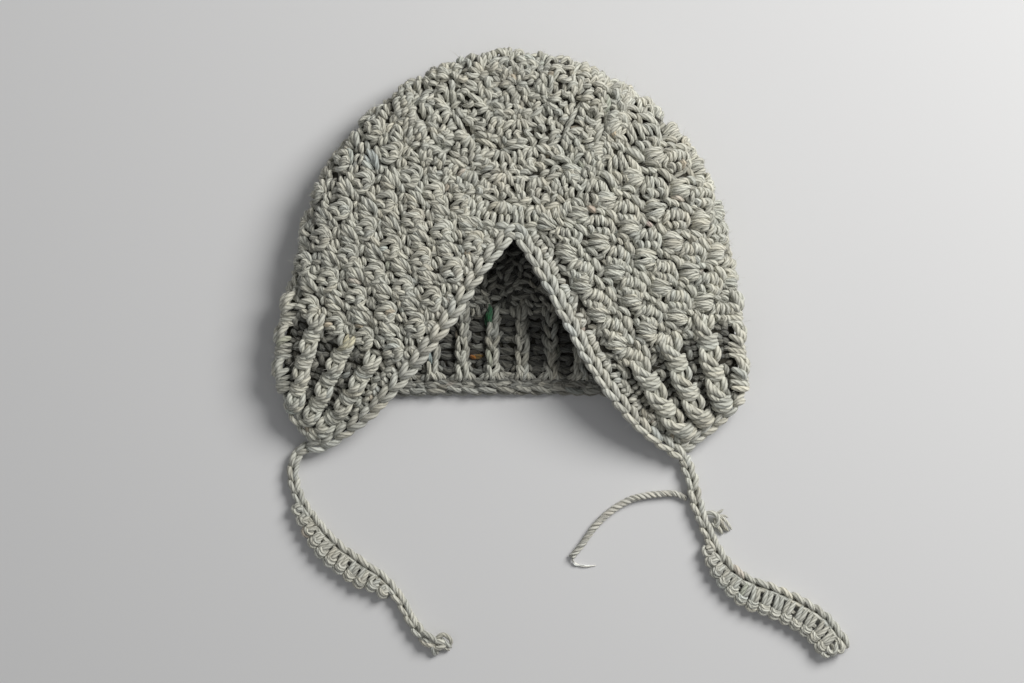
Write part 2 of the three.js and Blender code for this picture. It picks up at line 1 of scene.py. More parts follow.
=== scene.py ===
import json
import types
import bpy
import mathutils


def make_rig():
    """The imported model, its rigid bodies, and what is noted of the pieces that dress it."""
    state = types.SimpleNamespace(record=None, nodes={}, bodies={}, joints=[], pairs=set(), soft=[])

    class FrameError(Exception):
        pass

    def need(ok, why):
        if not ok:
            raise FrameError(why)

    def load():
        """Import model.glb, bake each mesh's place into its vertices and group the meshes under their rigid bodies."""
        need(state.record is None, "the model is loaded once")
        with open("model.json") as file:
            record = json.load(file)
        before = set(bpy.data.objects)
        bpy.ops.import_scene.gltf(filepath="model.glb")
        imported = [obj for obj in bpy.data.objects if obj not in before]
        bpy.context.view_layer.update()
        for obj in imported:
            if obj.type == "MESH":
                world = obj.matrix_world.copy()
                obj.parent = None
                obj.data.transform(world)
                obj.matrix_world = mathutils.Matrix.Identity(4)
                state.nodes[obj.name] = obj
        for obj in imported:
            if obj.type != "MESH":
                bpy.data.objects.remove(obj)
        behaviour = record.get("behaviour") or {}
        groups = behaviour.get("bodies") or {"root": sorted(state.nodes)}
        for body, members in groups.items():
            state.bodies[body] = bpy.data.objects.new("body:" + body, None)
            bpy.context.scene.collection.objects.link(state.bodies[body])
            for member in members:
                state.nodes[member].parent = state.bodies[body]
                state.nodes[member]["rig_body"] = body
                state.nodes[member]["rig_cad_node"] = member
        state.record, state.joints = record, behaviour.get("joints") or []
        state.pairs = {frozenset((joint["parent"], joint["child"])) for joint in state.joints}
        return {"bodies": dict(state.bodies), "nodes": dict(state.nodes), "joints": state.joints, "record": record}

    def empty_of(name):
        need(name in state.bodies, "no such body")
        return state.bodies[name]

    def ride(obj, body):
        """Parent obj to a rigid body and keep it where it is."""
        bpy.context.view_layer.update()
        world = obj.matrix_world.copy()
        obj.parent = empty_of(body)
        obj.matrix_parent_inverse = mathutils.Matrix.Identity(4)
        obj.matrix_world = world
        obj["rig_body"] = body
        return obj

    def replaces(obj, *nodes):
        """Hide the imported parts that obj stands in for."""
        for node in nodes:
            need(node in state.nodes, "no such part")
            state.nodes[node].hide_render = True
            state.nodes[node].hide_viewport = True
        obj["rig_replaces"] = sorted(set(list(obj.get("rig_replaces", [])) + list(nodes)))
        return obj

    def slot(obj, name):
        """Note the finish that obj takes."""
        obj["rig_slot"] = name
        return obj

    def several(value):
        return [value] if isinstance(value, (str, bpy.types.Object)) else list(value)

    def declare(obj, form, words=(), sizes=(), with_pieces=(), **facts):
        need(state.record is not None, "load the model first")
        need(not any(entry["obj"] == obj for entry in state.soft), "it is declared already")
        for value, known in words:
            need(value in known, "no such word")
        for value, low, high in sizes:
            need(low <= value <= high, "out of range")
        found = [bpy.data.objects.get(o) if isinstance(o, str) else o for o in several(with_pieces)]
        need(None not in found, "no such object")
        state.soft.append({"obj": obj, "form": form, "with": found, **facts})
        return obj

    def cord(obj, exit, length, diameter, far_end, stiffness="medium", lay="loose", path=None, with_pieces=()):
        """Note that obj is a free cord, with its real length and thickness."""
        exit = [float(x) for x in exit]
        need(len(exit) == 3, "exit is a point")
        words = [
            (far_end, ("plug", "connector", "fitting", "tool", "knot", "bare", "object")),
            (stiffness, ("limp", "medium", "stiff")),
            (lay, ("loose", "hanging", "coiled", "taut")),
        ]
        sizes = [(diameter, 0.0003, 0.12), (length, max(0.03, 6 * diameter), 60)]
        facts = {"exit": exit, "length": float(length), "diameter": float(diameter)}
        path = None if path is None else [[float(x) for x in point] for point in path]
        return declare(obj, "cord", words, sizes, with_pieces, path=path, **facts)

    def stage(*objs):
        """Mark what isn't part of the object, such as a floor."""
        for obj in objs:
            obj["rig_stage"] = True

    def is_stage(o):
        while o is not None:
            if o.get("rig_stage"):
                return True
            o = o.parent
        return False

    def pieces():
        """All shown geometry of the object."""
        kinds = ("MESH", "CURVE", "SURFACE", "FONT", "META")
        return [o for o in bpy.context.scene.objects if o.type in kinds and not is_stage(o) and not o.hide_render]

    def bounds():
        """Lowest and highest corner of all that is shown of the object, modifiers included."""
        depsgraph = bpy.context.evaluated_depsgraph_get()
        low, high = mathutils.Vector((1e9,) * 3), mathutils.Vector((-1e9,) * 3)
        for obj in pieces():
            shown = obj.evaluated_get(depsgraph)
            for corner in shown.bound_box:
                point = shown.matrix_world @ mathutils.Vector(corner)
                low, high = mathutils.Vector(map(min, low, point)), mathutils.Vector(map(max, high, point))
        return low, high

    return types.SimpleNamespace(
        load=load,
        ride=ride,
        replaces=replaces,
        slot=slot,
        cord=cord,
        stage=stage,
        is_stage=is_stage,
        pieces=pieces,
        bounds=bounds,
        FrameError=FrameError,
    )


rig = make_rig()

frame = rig.load()
CAD_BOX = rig.bounds()

import json
import math
import bpy
import numpy as np
from mathutils import Vector

MM = 0.001
rng = np.random.default_rng(7)

# ================================================================ camera and pixel coordinates
# Plan positions of stitches are written in photograph pixels and turned into
# millimetres here: the camera looks straight down from CAM_H above the floor.
PX = 0.46                    # mm a pixel at PLANE above the floor
PLANE = 12.0
CAM_H = 1412.0
SHIFT = np.array([0.14, 3.52, 0.0])
CAM_XY = np.array([0.0, (250 - 341.5) * PX])


def from_pixel(x, y, z=24.0):
    """Plan position in the unshifted frame of a pixel, on a surface at height z."""
    s = (CAM_H - z) / (CAM_H - PLANE)
    X, Y = (x - 512) * PX, (250 - y) * PX
    return CAM_XY[0] + (X - CAM_XY[0]) * s, CAM_XY[1] + (Y - CAM_XY[1]) * s


# ================================================================ shape of the fabric (mm)
WALL = 5.6
CENTRE_X, CROWN_Y = 1.4, 75.0
TOP_FOLD, SIDE_FOLD, SPLIT = 19.7, 48.0, 66.7
RIB_START, HEM = 148.1, 197.8
FLOOR_LAYER = WALL / 2
EDGING_R, TIE_R, TAIL_R, GAP = 3.5, 2.9, 1.7, 0.4
RIBS_BACK, RIBS_FLAP = 9, 4
FOLD_COLUMN = 20 / 37
LEFT_BAND = {"from": 0.25, "to": 0.69, "half": 2.8}
RIGHT_BAND = {"from": 0.41, "to": 0.97, "half": 3.9}

ROWS = {
    "t":          [0, 17, 48, 66.7, 81.4, 96.1, 112.7, 130.2, 148.1, 171.1, 183.1, 197.8],
    "front_z":    [22.0, 23.3, 26.4, 27.8, 28.2, 27.8, 26.2, 23.4, 19.6, 13.6, 9.2, 4.2],
    "shoulder_z": [22.0, 22.6, 23.4, 23.4, 23.0, 22.5, 21.6, 20.2, 18.6, 16.2, 14.6, 12.6],
    "fold_y":     [75, 75, 75, 62.5, 48.1, 31.9, 13.8, -3.3, -22.1, -44.4, -56.0, -67.0],
    "fold_z":     [12.0, 12.2, 12.6, 13.0, 13.0, 13.0, 12.6, 12.2, 11.6, 10.4, 9.4, 8.4],
    "round":      [13, 13, 13, 13, 13, 12.5, 12, 11, 9.5, 7.5, 6.5, 5.5],
    "bow_l":      [1, 1, 1, 1.3, 1.6, 1.8, 2.0, 2.0, 1.9, 1.5, 1.35, 1.3],
    "bow_r":      [1, 1, 1, 1.3, 1.6, 1.8, 2.0, 2.0, 2.0, 2.0, 1.9, 1.8],
}
OUTLINE = [(-84.0, -101.5, 106.5), (-68.5, -103.2, 105.4), (-56.1, -105.1, 104.5), (-44.4, -104.8, 103.4),
           (-22.1, -101.0, 101.2), (-3.3, -97.6, 98.7), (13.8, -93.3, 94.9), (31.9, -86.3, 88.6),
           (48.1, -76.9, 79.2), (62.5, -63.0, 66.0), (72.0, -51.0, 53.0), (79.0, -39.0, 41.0),
           (84.6, -26.0, 28.0), (88.2, -12.0, 14.0), (89.2, 1.4, 1.4)]
BACK = {"t": [19.7, 27, 35, 48, 81.4, 112.7, 148.1, 197.8],
        "y": [89.2, 86.6, 79.0, 67.2, 36.0, 7.0, -25.8, -63.5]}
OPENING = {"t": [66.7, 76.0, 94.7, 119.1, 141.4, 161.3, 180.3, 197.8],
           "left_x": [1.4, -6.6, -17.9, -30.4, -43.7, -56.1, -69.0, -86.6],
           "left_y": [8.3, 0.6, -14.7, -34.0, -50.6, -64.9, -77.7, -89.6],
           "right_x": [1.4, 7.6, 16.7, 27.5, 37.3, 48.5, 60.7, 75.6],
           "right_y": [8.3, 0.6, -15.4, -35.2, -53.0, -68.4, -81.8, -92.6]}
LEFT_TIE = [(-95.0, -91.0), (-98.8, -93.6), (-100.8, -98.0), (-101.3, -104.6), (-99.8, -111.9), (-96.0, -118.7),
            (-91.7, -124.8), (-86.6, -131.2), (-80.1, -137.4), (-73.7, -142.0), (-67.2, -146.8), (-60.9, -150.9),
            (-56.3, -155.9), (-51.4, -162.1), (-47.1, -170.5), (-42.4, -177.1), (-36.7, -182.0), (-30.0, -181.8)]
RIGHT_TIE = [(79.7, -96.6), (81.5, -101.0), (83.1, -105.6), (85.1, -115.5), (88.0, -124.1), (91.9, -132.9),
             (95.4, -140.3), (100.3, -146.6), (110.7, -153.5), (122.1, -157.7), (133.5, -163.0), (144.6, -170.4),
             (151.3, -178.4), (155.6, -183.8)]
TAIL = [(80.9, -114.9), (75.5, -112.6), (69.5, -112.7), (62.6, -113.4), (54.7, -115.4), (45.8, -120.7),
        (38.5, -127.7), (32.6, -136.0), (27.6, -142.0)]


def pchip(xs, ys):
    xs, ys = np.array(xs, float), np.array(ys, float)
    h = np.diff(xs)
    d = np.diff(ys) / h
    m = np.zeros(len(xs))
    for i in range(1, len(xs) - 1):
        if d[i - 1] * d[i] > 0:
            w0, w1 = 2 * h[i] + h[i - 1], h[i] + 2 * h[i - 1]
            m[i] = (w0 + w1) / (w0 / d[i - 1] + w1 / d[i])
    m[0], m[-1] = d[0], d[-1]

    def f(v):
        v = np.asarray(v, float)
        i = np.clip(np.searchsorted(xs, v, side="left") - 1, 0, len(xs) - 2)
        s = (v - xs[i]) / h[i]
        c = np.clip(s, 0, 1)
        r = (ys[i] * (2 * c**3 - 3 * c**2 + 1) + h[i] * m[i] * (c**3 - 2 * c**2 + c)
             + ys[i + 1] * (3 * c**2 - 2 * c**3) + h[i] * m[i + 1] * (c**3 - c**2))
        r = np.where(s < 0, ys[i] + m[i] * (v - xs[i]), r)
        return np.where(s > 1, ys[i + 1] + m[i + 1] * (v - xs[i + 1]), r)
    return f


def smooth_curve(points, n):
    """n + 1 points of a centripetal Catmull-Rom curve, evenly spread over its spans."""
    P = np.array(points, float)
    Q = np.vstack([2 * P[0] - P[1], P, 2 * P[-1] - P[-2]])
    out = []
    for k in range(n + 1):
        p = (len(P) - 1) * k / n
        i = min(int(p), len(P) - 2)
        w = p - i
        p0, p1, p2, p3 = Q[i:i + 4]
        d0, d1, d2 = (max(1e-4, np.sum((b - a) ** 2) ** 0.25) for a, b in ((p0, p1), (p1, p2), (p2, p3)))
        m1 = ((p1 - p0) / d0 - (p2 - p0) / (d0 + d1) + (p2 - p1) / d1) * d1
        m2 = ((p2 - p1) / d1 - (p3 - p1) / (d1 + d2) + (p3 - p2) / d2) * d1
        out.append(p1 + m1 * w + (-3 * p1 + 3 * p2 - 2 * m1 - m2) * w**2 + (2 * p1 - 2 * p2 + m1 + m2) * w**3)
    return np.array(out)


def arc(points):
    return np.r_[0, np.cumsum(np.linalg.norm(np.diff(points, axis=0), axis=1))]


def at_length(points, d, s):
    return np.stack([np.interp(s, d, points[:, k]) for k in range(points.shape[1])], -1)


row = {k: pchip(ROWS["t"], v) for k, v in ROWS.items() if k != "t"}
back_y = pchip(BACK["t"], BACK["y"])
opening = {k: pchip(OPENING["t"], v) for k, v in OPENING.items() if k != "t"}
outline = smooth_curve([(l, y) for y, l, r in OUTLINE] + [(r, y) for y, l, r in OUTLINE[-2::-1]], 220)
seg_a, seg_u = outline[:-1], np.diff(outline, axis=0)


def inset(x, y):
    """Distance from plan points to the side fold, negative outside it."""
    p = np.stack([np.atleast_1d(x), np.atleast_1d(y)], -1).astype(float)
    w = p[:, None, :] - seg_a[None]
    k = np.clip((w * seg_u).sum(-1) / (seg_u**2).sum(-1), 0, 1)
    r = w - k[..., None] * seg_u
    d = np.hypot(r[..., 0], r[..., 1])
    j = d.argmin(1)
    i = np.arange(len(p))
    sign = np.where(seg_u[j, 1] * r[i, j, 0] - seg_u[j, 0] * r[i, j, 1] >= 0, 1, -1)
    return d[i, j] * sign


def fold_x(side, y):
    half = outline[:111] if side < 0 else outline[110:][::-1]
    for a, b in zip(half[:-1], half[1:]):
        if (a[1] - y) * (b[1] - y) <= 0 and a[1] != b[1]:
            return a[0] + (b[0] - a[0]) * (y - a[1]) / (b[1] - a[1])
    return CENTRE_X


def round_off(u):
    v = 1 - np.clip(u, 0, 1)
    return np.sqrt(1 - v * v)


STEPS = 60
crown_reach = {s: abs(fold_x(s, CROWN_Y) - CENTRE_X) / SIDE_FOLD for s in (-1, 1)}


def half_row(side, t):
    """Points of a half row from the back centre over the side fold to the front, and the fold's index."""
    fy = CROWN_Y if t < SIDE_FOLD else float(row["fold_y"](t))
    a = t * crown_reach[side] if t < SIDE_FOLD else abs(fold_x(side, fy) - CENTRE_X)
    bow = float(row["bow_l" if side < 0 else "bow_r"](t))
    fx, fry = CENTRE_X, CROWN_Y - t
    if t > SPLIT:
        fx = float(opening["left_x" if side < 0 else "right_x"](t))
        fry = float(opening["left_y" if side < 0 else "right_y"](t))
    start = math.asin(min(0.999, abs(fx - CENTRE_X) / max(a, 1e-6)))
    c0 = math.cos(start)
    reach = (fry - fy) / c0**bow
    behind = t * (1 - 0.28 * (t / TOP_FOLD) ** 2) if t < TOP_FOLD else t * 0.72 + (t - TOP_FOLD) * 0.28 * 1.6

    def plan(ang):
        ang = np.asarray(ang, float)
        c, s = np.cos(ang), np.sin(ang)
        return CENTRE_X + side * a * s, fy + np.where(c >= 0, reach * np.maximum(c, 0) ** bow, behind * -c)
    fold_angle = math.pi / 2
    if t <= TOP_FOLD:
        fold_angle = math.pi
    elif t < SIDE_FOLD:
        lo, hi = math.pi / 2, math.pi
        for _ in range(40):
            mid = (lo + hi) / 2
            if inset(*plan(mid))[0] > 0:
                lo = mid
            else:
                hi = mid
        fold_angle = lo
    k = np.arange(STEPS + 1) / STEPS
    power = 2 if TOP_FOLD < t < SIDE_FOLD else 1.3
    ang = start + (fold_angle - start) * (1 - (1 - k) ** power)
    x, y = plan(ang)
    towards = np.maximum(0, np.cos(ang)) / c0
    fz, wd = float(row["fold_z"](t)), float(row["round"](t))
    sz, frz = float(row["shoulder_z"](t)), float(row["front_z"](t))
    z = sz + (frz - sz) * towards**1.2
    d = inset(x, y)
    if t > TOP_FOLD:
        d[-1] = 0
    upper = np.stack([x, y, fz + (z - fz) * round_off(d / wd)], 1)[::-1]
    if t <= TOP_FOLD:
        return upper, 0
    px, py = (float(v) for v in plan(fold_angle))
    by = float(back_y(t))
    c = np.sin(np.arange(STEPS) / STEPS * math.pi / 2)
    x = CENTRE_X + (px - CENTRE_X) * c
    y = by + (py - by) * (1 - np.sqrt(np.maximum(0, 1 - c * c)) ** 1.5)
    lower = np.stack([x, y, fz + (FLOOR_LAYER - fz) * round_off(inset(x, y) / (wd * 0.85))], 1)
    return np.vstack([lower, upper]), STEPS


# Grid of the fabric's middle surface: rows by distance from the crown centre, columns
# from the front (0) round to the back centre (1), on each side.
T_STEP, COLUMNS = 1.5, 160
T_ROWS = np.append(np.arange(0, HEM, T_STEP), HEM)
T_ROWS[0] = 0.01


def column_shares(length, fold, t):
    k = np.linspace(1, 0, COLUMNS + 1)          # share along the row, 1 at the front
    if fold == 0:
        return k
    back = length[fold] / length[-1]
    aligned = np.where(k <= FOLD_COLUMN, back * k / FOLD_COLUMN,
                       back + (1 - back) * (k - FOLD_COLUMN) / (1 - FOLD_COLUMN))
    w = min(1, max(0, (t - 26) / 30))
    return k + (aligned - k) * w * w * (3 - 2 * w)


GRID, NORMAL, FRONT_LENGTH = {}, {}, {}
for side in (-1, 1):
    g, fl = [], []
    for t in T_ROWS:
        pts, fold = half_row(side, t)
        length = arc(pts)
        share = column_shares(length, fold, t)
        g.append(at_length(pts, length, share * length[-1]))
        fl.append(length[-1] - length[fold])
    GRID[side] = np.array(g)
    FRONT_LENGTH[side] = np.array(fl)
for side in (-1, 1):
    g = GRID[side]
    along = np.gradient(g, axis=1)
    # across the front centre line and the back centre line the fabric is smooth
    other = GRID[-side]
    along[:, -1] = (other[:, -2] - g[:, -2]) / 2
    whole = T_ROWS < SPLIT
    along[whole, 0] = (g[whole, 1] - other[whole, 1]) / 2
    down = np.gradient(g, axis=0)
    n = np.cross(down, along) * side
    n /= np.maximum(1e-9, np.linalg.norm(n, axis=-1, keepdims=True))
    n[0] = (0, 0, 1)
    NORMAL[side] = n


def fabric(t, c, side=None):
    """Points and normals of the middle surface: t is the distance from the crown centre, c the signed
    column, 0 at the front and -1 or 1 at the back centre, by the left or the right side."""
    t, c = np.broadcast_arrays(np.asarray(t, float), np.asarray(c, float))
    t, c = t.copy(), c.copy()
    over = np.maximum(0, t - HEM)
    c = np.where(c > 1, c - 2, np.where(c < -1, c + 2, c))
    s = np.where(c >= 0, 1, -1)
    if side is not None:
        keep = (t > SPLIT) & (s != side) & (np.abs(c) < 0.5)
        c = np.where(keep, 0.0, c)
        s = np.where(keep, side, s)
    ti = np.interp(t, T_ROWS, np.arange(len(T_ROWS)))
    ci = np.clip(np.abs(c), 0, 1) * COLUMNS
    i = np.minimum(ti.astype(int), len(T_ROWS) - 2)
    j = np.minimum(ci.astype(int), COLUMNS - 1)
    u, v = (ti - i)[..., None], (ci - j)[..., None]
    P, N = np.zeros(t.shape + (3,)), np.zeros(t.shape + (3,))
    for sd in (-1, 1):
        m = s == sd
        if not m.any():
            continue
        ii, jj, uu, vv = i[m], j[m], u[m], v[m]
        for out, g in ((P, GRID[sd]), (N, NORMAL[sd])):
            out[m] = ((g[ii, jj] * (1 - vv) + g[ii, jj + 1] * vv) * (1 - uu)
                      + (g[ii + 1, jj] * (1 - vv) + g[ii + 1, jj + 1] * vv) * uu)
    if over.any():
        Q, _ = fabric(np.full(t.shape, HEM - 1.5), c, side)
        d = P - Q
        P = P + d / np.maximum(1e-9, np.linalg.norm(d, axis=-1, keepdims=True)) * over[..., None]
    N /= np.maximum(1e-9, np.linalg.norm(N, axis=-1, keepdims=True))
    return P, N


class Place:
    """A spot on the fabric with its own axes: p along the row towards the front, q away from the
    crown, both in mm on the cloth."""

    def __init__(self, t, c, side=None):
        self.t, self.c = t, c
        self.side = side if side is not None else (1 if c >= 0 else -1)
        dt, dc = 1.5, 0.006
        P, _ = fabric([t, t, max(0.5, t - dt), min(HEM, t + dt)], [c - dc, c + dc, c, c], None if t < SPLIT - 2 else self.side)
        dPc = (P[1] - P[0]) / (2 * dc)
        if abs(c) < dc and t >= SPLIT - 2:
            Q, _ = fabric([t, t], [0.001 * self.side, dc * self.side], self.side)
            dPc = (Q[1] - Q[0]) / ((dc - 0.001) * self.side)
        dPt = (P[3] - P[2]) / (min(HEM, t + dt) - max(0.5, t - dt))
        self.speed = np.linalg.norm(dPc)
        e1 = -self.side * dPc / self.speed
        lean = dPt @ e1
        e2 = dPt - lean * e1
        self.down = np.linalg.norm(e2)
        self.e1, self.e2, self.lean = e1, e2 / self.down, lean

    def tc(self, p, q):
        dt = np.asarray(q, float) / self.down
        return self.t + dt, self.c - self.side * (np.asarray(p, float) - dt * self.lean) / self.speed


def column_at(side, t, s):
    """Signed column at s mm from the front edge (or front centre line) along the row."""
    i = min(len(T_ROWS) - 1, max(0, int(round(float(np.interp(t, T_ROWS, np.arange(len(T_ROWS))))))))
    d = arc(GRID[side][i])
    return side * float(np.interp(s, d, np.arange(COLUMNS + 1))) / COLUMNS


# ================================================================ yarn
class Yarn:
    """Collects swept strands and makes one mesh of them."""

    def __init__(self):
        self.v, self.f, self.uv, self.tint, self.n = [], [], [], [], 0
        self.mid, self.way, self.rad, self.run = [], [], [], []
        self.tris = 0
        self.tone = 1.0

    def strand(self, P, N, r, sides=8, step=1.05, taper=0.55, flat=1.0, tint=None, cap=True):
        """One strand along P (mm), N the way up; taper is the end radius as a share of r."""
        P, N = np.asarray(P, float), np.asarray(N, float)
        d = arc(P)
        if d[-1] < 0.5:
            return
        m = int(max(4, min(110, round(d[-1] / step))))
        if len(P) > 2:
            C = smooth_curve(P, max(m * 3, 12))
        else:
            C = P
        dc = arc(C)
        s = np.linspace(0, dc[-1], m + 1)
        Q = at_length(C, dc, s)
        U = at_length(N, d, s * d[-1] / dc[-1])
        T = np.gradient(Q, axis=0)
        T /= np.maximum(1e-9, np.linalg.norm(T, axis=1, keepdims=True))
        U = U - (U * T).sum(1, keepdims=True) * T
        U /= np.maximum(1e-9, np.linalg.norm(U, axis=1, keepdims=True))
        B = np.cross(T, U)
        k = np.linspace(-1, 1, m + 1)
        rr = r * (1 - (1 - taper) * np.abs(k) ** 3)
        th = np.arange(sides) / sides * 2 * math.pi
        ring = (Q[:, None] + (rr[:, None, None]) * (np.cos(th)[None, :, None] * B[:, None] + flat * np.sin(th)[None, :, None] * U[:, None]))
        self.v.append(ring.reshape(-1, 3))
        self.mid.append(Q[1:-1])
        self.way.append(U[1:-1])
        self.rad.append(rr[1:-1])
        self.run.append(T[1:-1])
        a = np.arange(m)[:, None] * sides + np.arange(sides)[None]
        b = np.arange(m)[:, None] * sides + (np.arange(sides)[None] + 1) % sides
        quads = np.stack([a, b, b + sides, a + sides], -1).reshape(-1, 4) + self.n
        u0 = rng.uniform(0, 50)
        su = s * rng.uniform(0.7, 1.35) + u0
        v0 = np.broadcast_to(np.arange(sides)[None] / sides, a.shape)
        uv = np.stack([np.stack([np.broadcast_to(su[:-1, None], a.shape), v0], -1),
                       np.stack([np.broadcast_to(su[:-1, None], a.shape), v0 + 1 / sides], -1),
                       np.stack([np.broadcast_to(su[1:, None], a.shape), v0 + 1 / sides], -1),
                       np.stack([np.broadcast_to(su[1:, None], a.shape), v0], -1)], 2).reshape(-1, 2)
        self.f.append(quads)
        self.uv.append(uv)
        if cap:
            # small closed tips
            tips = np.stack([Q[0] - T[0] * rr[0] * 0.6, Q[-1] + T[-1] * rr[-1] * 0.6])
            self.v.append(tips)
            i0, i1 = self.n + (m + 1) * sides, self.n + (m + 1) * sides + 1
            j = np.arange(sides)
            k2 = (j + 1) % sides
            t0 = np.stack([np.full(sides, i0), k2 + self.n, j + self.n], -1)
            t1 = np.stack([np.full(sides, i1), j + self.n + m * sides, k2 + self.n + m * sides], -1)
            self.f.append(np.vstack([t0, t1]))
            w = np.stack([np.full(sides * 2 * 3, su[0]), np.tile(np.arange(3) / 3, sides * 2)], -1)
            self.uv.append(w)
            self.tris += sides * 2
        extra = 2 if cap else 0
        if tint is None:
            tint = strand_tint()
        for spot, reach, c in SPOT_AT:
            if np.hypot(*(Q[len(Q) // 2, :2] - spot)) < reach and Q[:, 2].mean() > 4:
                tint = tint * c
        self.tint.append(np.broadcast_to(np.append(np.asarray(tint) * self.tone, 1.0), ((m + 1) * sides + extra, 4)))
        self.n += (m + 1) * sides + extra
        self.tris += m * sides * 2

    def build(self, name, material):
        V = np.vstack(self.v) + SHIFT
        V[:, 2] = np.maximum(V[:, 2], 0.05)
        V = V * MM
        faces = [tuple(q) for f in self.f for q in f.tolist()]
        mesh = bpy.data.meshes.new(name)
        mesh.from_pydata(V.tolist(), [], faces)
        mesh.polygons.foreach_set("use_smooth", np.ones(len(faces), dtype=bool))
        uv = np.vstack(self.uv)
        layer = mesh.uv_layers.new(name="strand")
        layer.data.foreach_set("uv", uv.astype(np.float32).ravel())
        col = mesh.color_attributes.new("tint", "FLOAT_COLOR", "POINT")
        col.data.foreach_set("color", np.vstack(self.tint).astype(np.float32).ravel())
        mesh.materials.append(material)
        mesh.update()
        ob = bpy.data.objects.new(name, mesh)
        bpy.context.scene.collection.objects.link(ob)
        print("piece", name, "triangles", self.tris)
        return ob


FLECKS = [(0.55, 0.62, 0.50), (0.85, 0.62, 0.40), (0.72, 0.84, 0.90), (0.95, 0.78, 0.74), (0.62, 0.58, 0.50)]


# spots where dyed fibres show in the yarn: pixel, reach in pixels, colour
SPOTS = [((488, 318), 5, (0.10, 0.36, 0.20)), ((473, 356), 5, (0.75, 0.45, 0.12)), ((423, 354), 6, (0.80, 0.98, 1.12)),
         ((579, 333), 6, (1.05, 0.90, 0.88)), ((653, 225), 5, (1.02, 0.86, 0.88)), ((590, 212), 5, (1.05, 0.90, 0.86)),
         ((372, 163), 7, (0.92, 0.98, 1.05)), ((346, 343), 6, (1.04, 0.97, 0.80))]
SPOT_AT = [(np.array(from_pixel(x, y, 20)), reach * PX, np.array(c)) for (x, y), reach, c in SPOTS]


def strand_tint():
    """Slight change of tone from strand to strand, with a rare coloured fleck."""
    k = 1 + float(np.clip(rng.normal(0, 0.085), -0.18, 0.15))
    w = rng.normal(0, 0.012)
    base = np.array([k * (1 + w), k, k * (1 - w * 1.4)])
    if rng.random() < 0.018:
        base = base * (0.55 + 0.45 * np.array(FLECKS[rng.integers(len(FLECKS))]))
    return base


def lay(yarn, place, pts, heights, r, inside=False, jitter=0.22, sides=8, taper=0.5, step=1.12, drop=None, tint=None, flat=1.0):
    """A strand on the fabric: pts in (p, q) mm from the place, heights in mm above the middle surface."""
    pts = np.array(pts, float)
    pts = pts + rng.normal(0, jitter, pts.shape)
    t, c = place.tc(pts[:, 0], pts[:, 1])
    t = np.maximum(t, 0.6)
    P, N = fabric(t, c, place.side if place.t > SPLIT - 8 else None)
    if drop is not None and N[:, 2].mean() < drop:
        return
    h = np.interp(np.linspace(0, 1, len(pts)), np.linspace(0, 1, len(heights)), heights) + rng.normal(0, 0.24)
    if inside:
        h = -h
    Q = P + N * h[:, None]
    yarn.strand(Q, N if not inside else -N, r * (1 + float(np.clip(rng.normal(0, 0.08), -0.16, 0.16))), sides=sides, taper=taper, step=step, tint=tint, flat=flat)


# ---------------------------------------------------------------- stitch figures
# Strands of one repeat, in photograph pixels from the middle of the repeat (x right,
# y down), with the heights of its start, middle and end above the fabric in mm.
LEFT_FIGURE = [
    # round bobble
    ([(-2, -7), (4, -9), (9, -7.5), (10.8, -2), (10, 2)], (0.8, 2.3, 0.2), 1.15),
    ([(-9.5, -2), (-4, -4.5), (2, -5.5), (6.5, -4.5), (9, -1)], (0.4, 3.2, 1.4), 1.15),
    ([(-10, 0.8), (-5, 0), (-0.5, 0.3)], (0.5, 2.9, 1.6), 1.1),
    ([(-9, 4.2), (-4, 3.0), (-0.5, 4.0), (1.8, 7.0)], (0.5, 2.8, 1.2), 1.15),
    ([(1.5, 3.0), (3.6, -0.4), (7.5, -1.2), (9.2, 1.0)], (1.2, 3.1, 1.2), 1.1),
    ([(1.6, 9), (4, 4.7), (7, 2.4), (10, 2.2)], (0.6, 3.0, 1.0), 1.2),
    ([(-7, 7.4), (-2, 10.3), (2.5, 10), (6.5, 7.6), (9.4, 4)], (0.1, 2.0, 0.6), 1.15),
    # slanted bars above it
    ([(1.4, -35), (5.8, -30.5), (11.4, -26.5)], (0.6, 2.2, 0.6), 1.15),
    ([(-3.8, -30), (0.4, -26), (4.4, -22), (8.2, -17)], (0.5, 2.5, 0.6), 1.15),
    ([(1.2, -30), (6.0, -25), (10.2, -19.5), (12.4, -13)], (0.6, 2.8, 0.0), 1.15),
    ([(-5.4, -25), (0.2, -21), (6.0, -17.4)], (0.3, 2.1, 0.6), 1.1),
    ([(-5.4, -19), (0.8, -16.6), (7.6, -13.4)], (0.1, 1.7, 0.4), 1.1),
    ([(-5.0, -14), (0.5, -12.4), (6.0, -10.6)], (0.0, 1.2, 0.3), 1.0),
    # leaves of the chain beside it
    ([(13.6, -20.5), (15.6, -16), (16.9, -11.4)], (-0.5, 1.5, -0.3), 1.15),
    ([(11.6, -18.6), (11.6, -14), (12.9, -9.8)], (-0.6, 0.9, -0.3), 0.95),
    ([(16.3, -11), (15.0, -6), (14.3, -1)], (-0.4, 1.2, -0.4), 1.0),
    ([(19.2, -10.4), (20.4, -4.5), (19.2, 2)], (-0.4, 1.2, -0.4), 1.0),
    ([(11.2, 3.4), (12.4, 8), (14.0, 13)], (-0.4, 1.5, -0.4), 1.1),
    ([(15.2, 1.4), (17.4, 6), (17.6, 10.2)], (-0.4, 1.2, -0.4), 1.0),
]
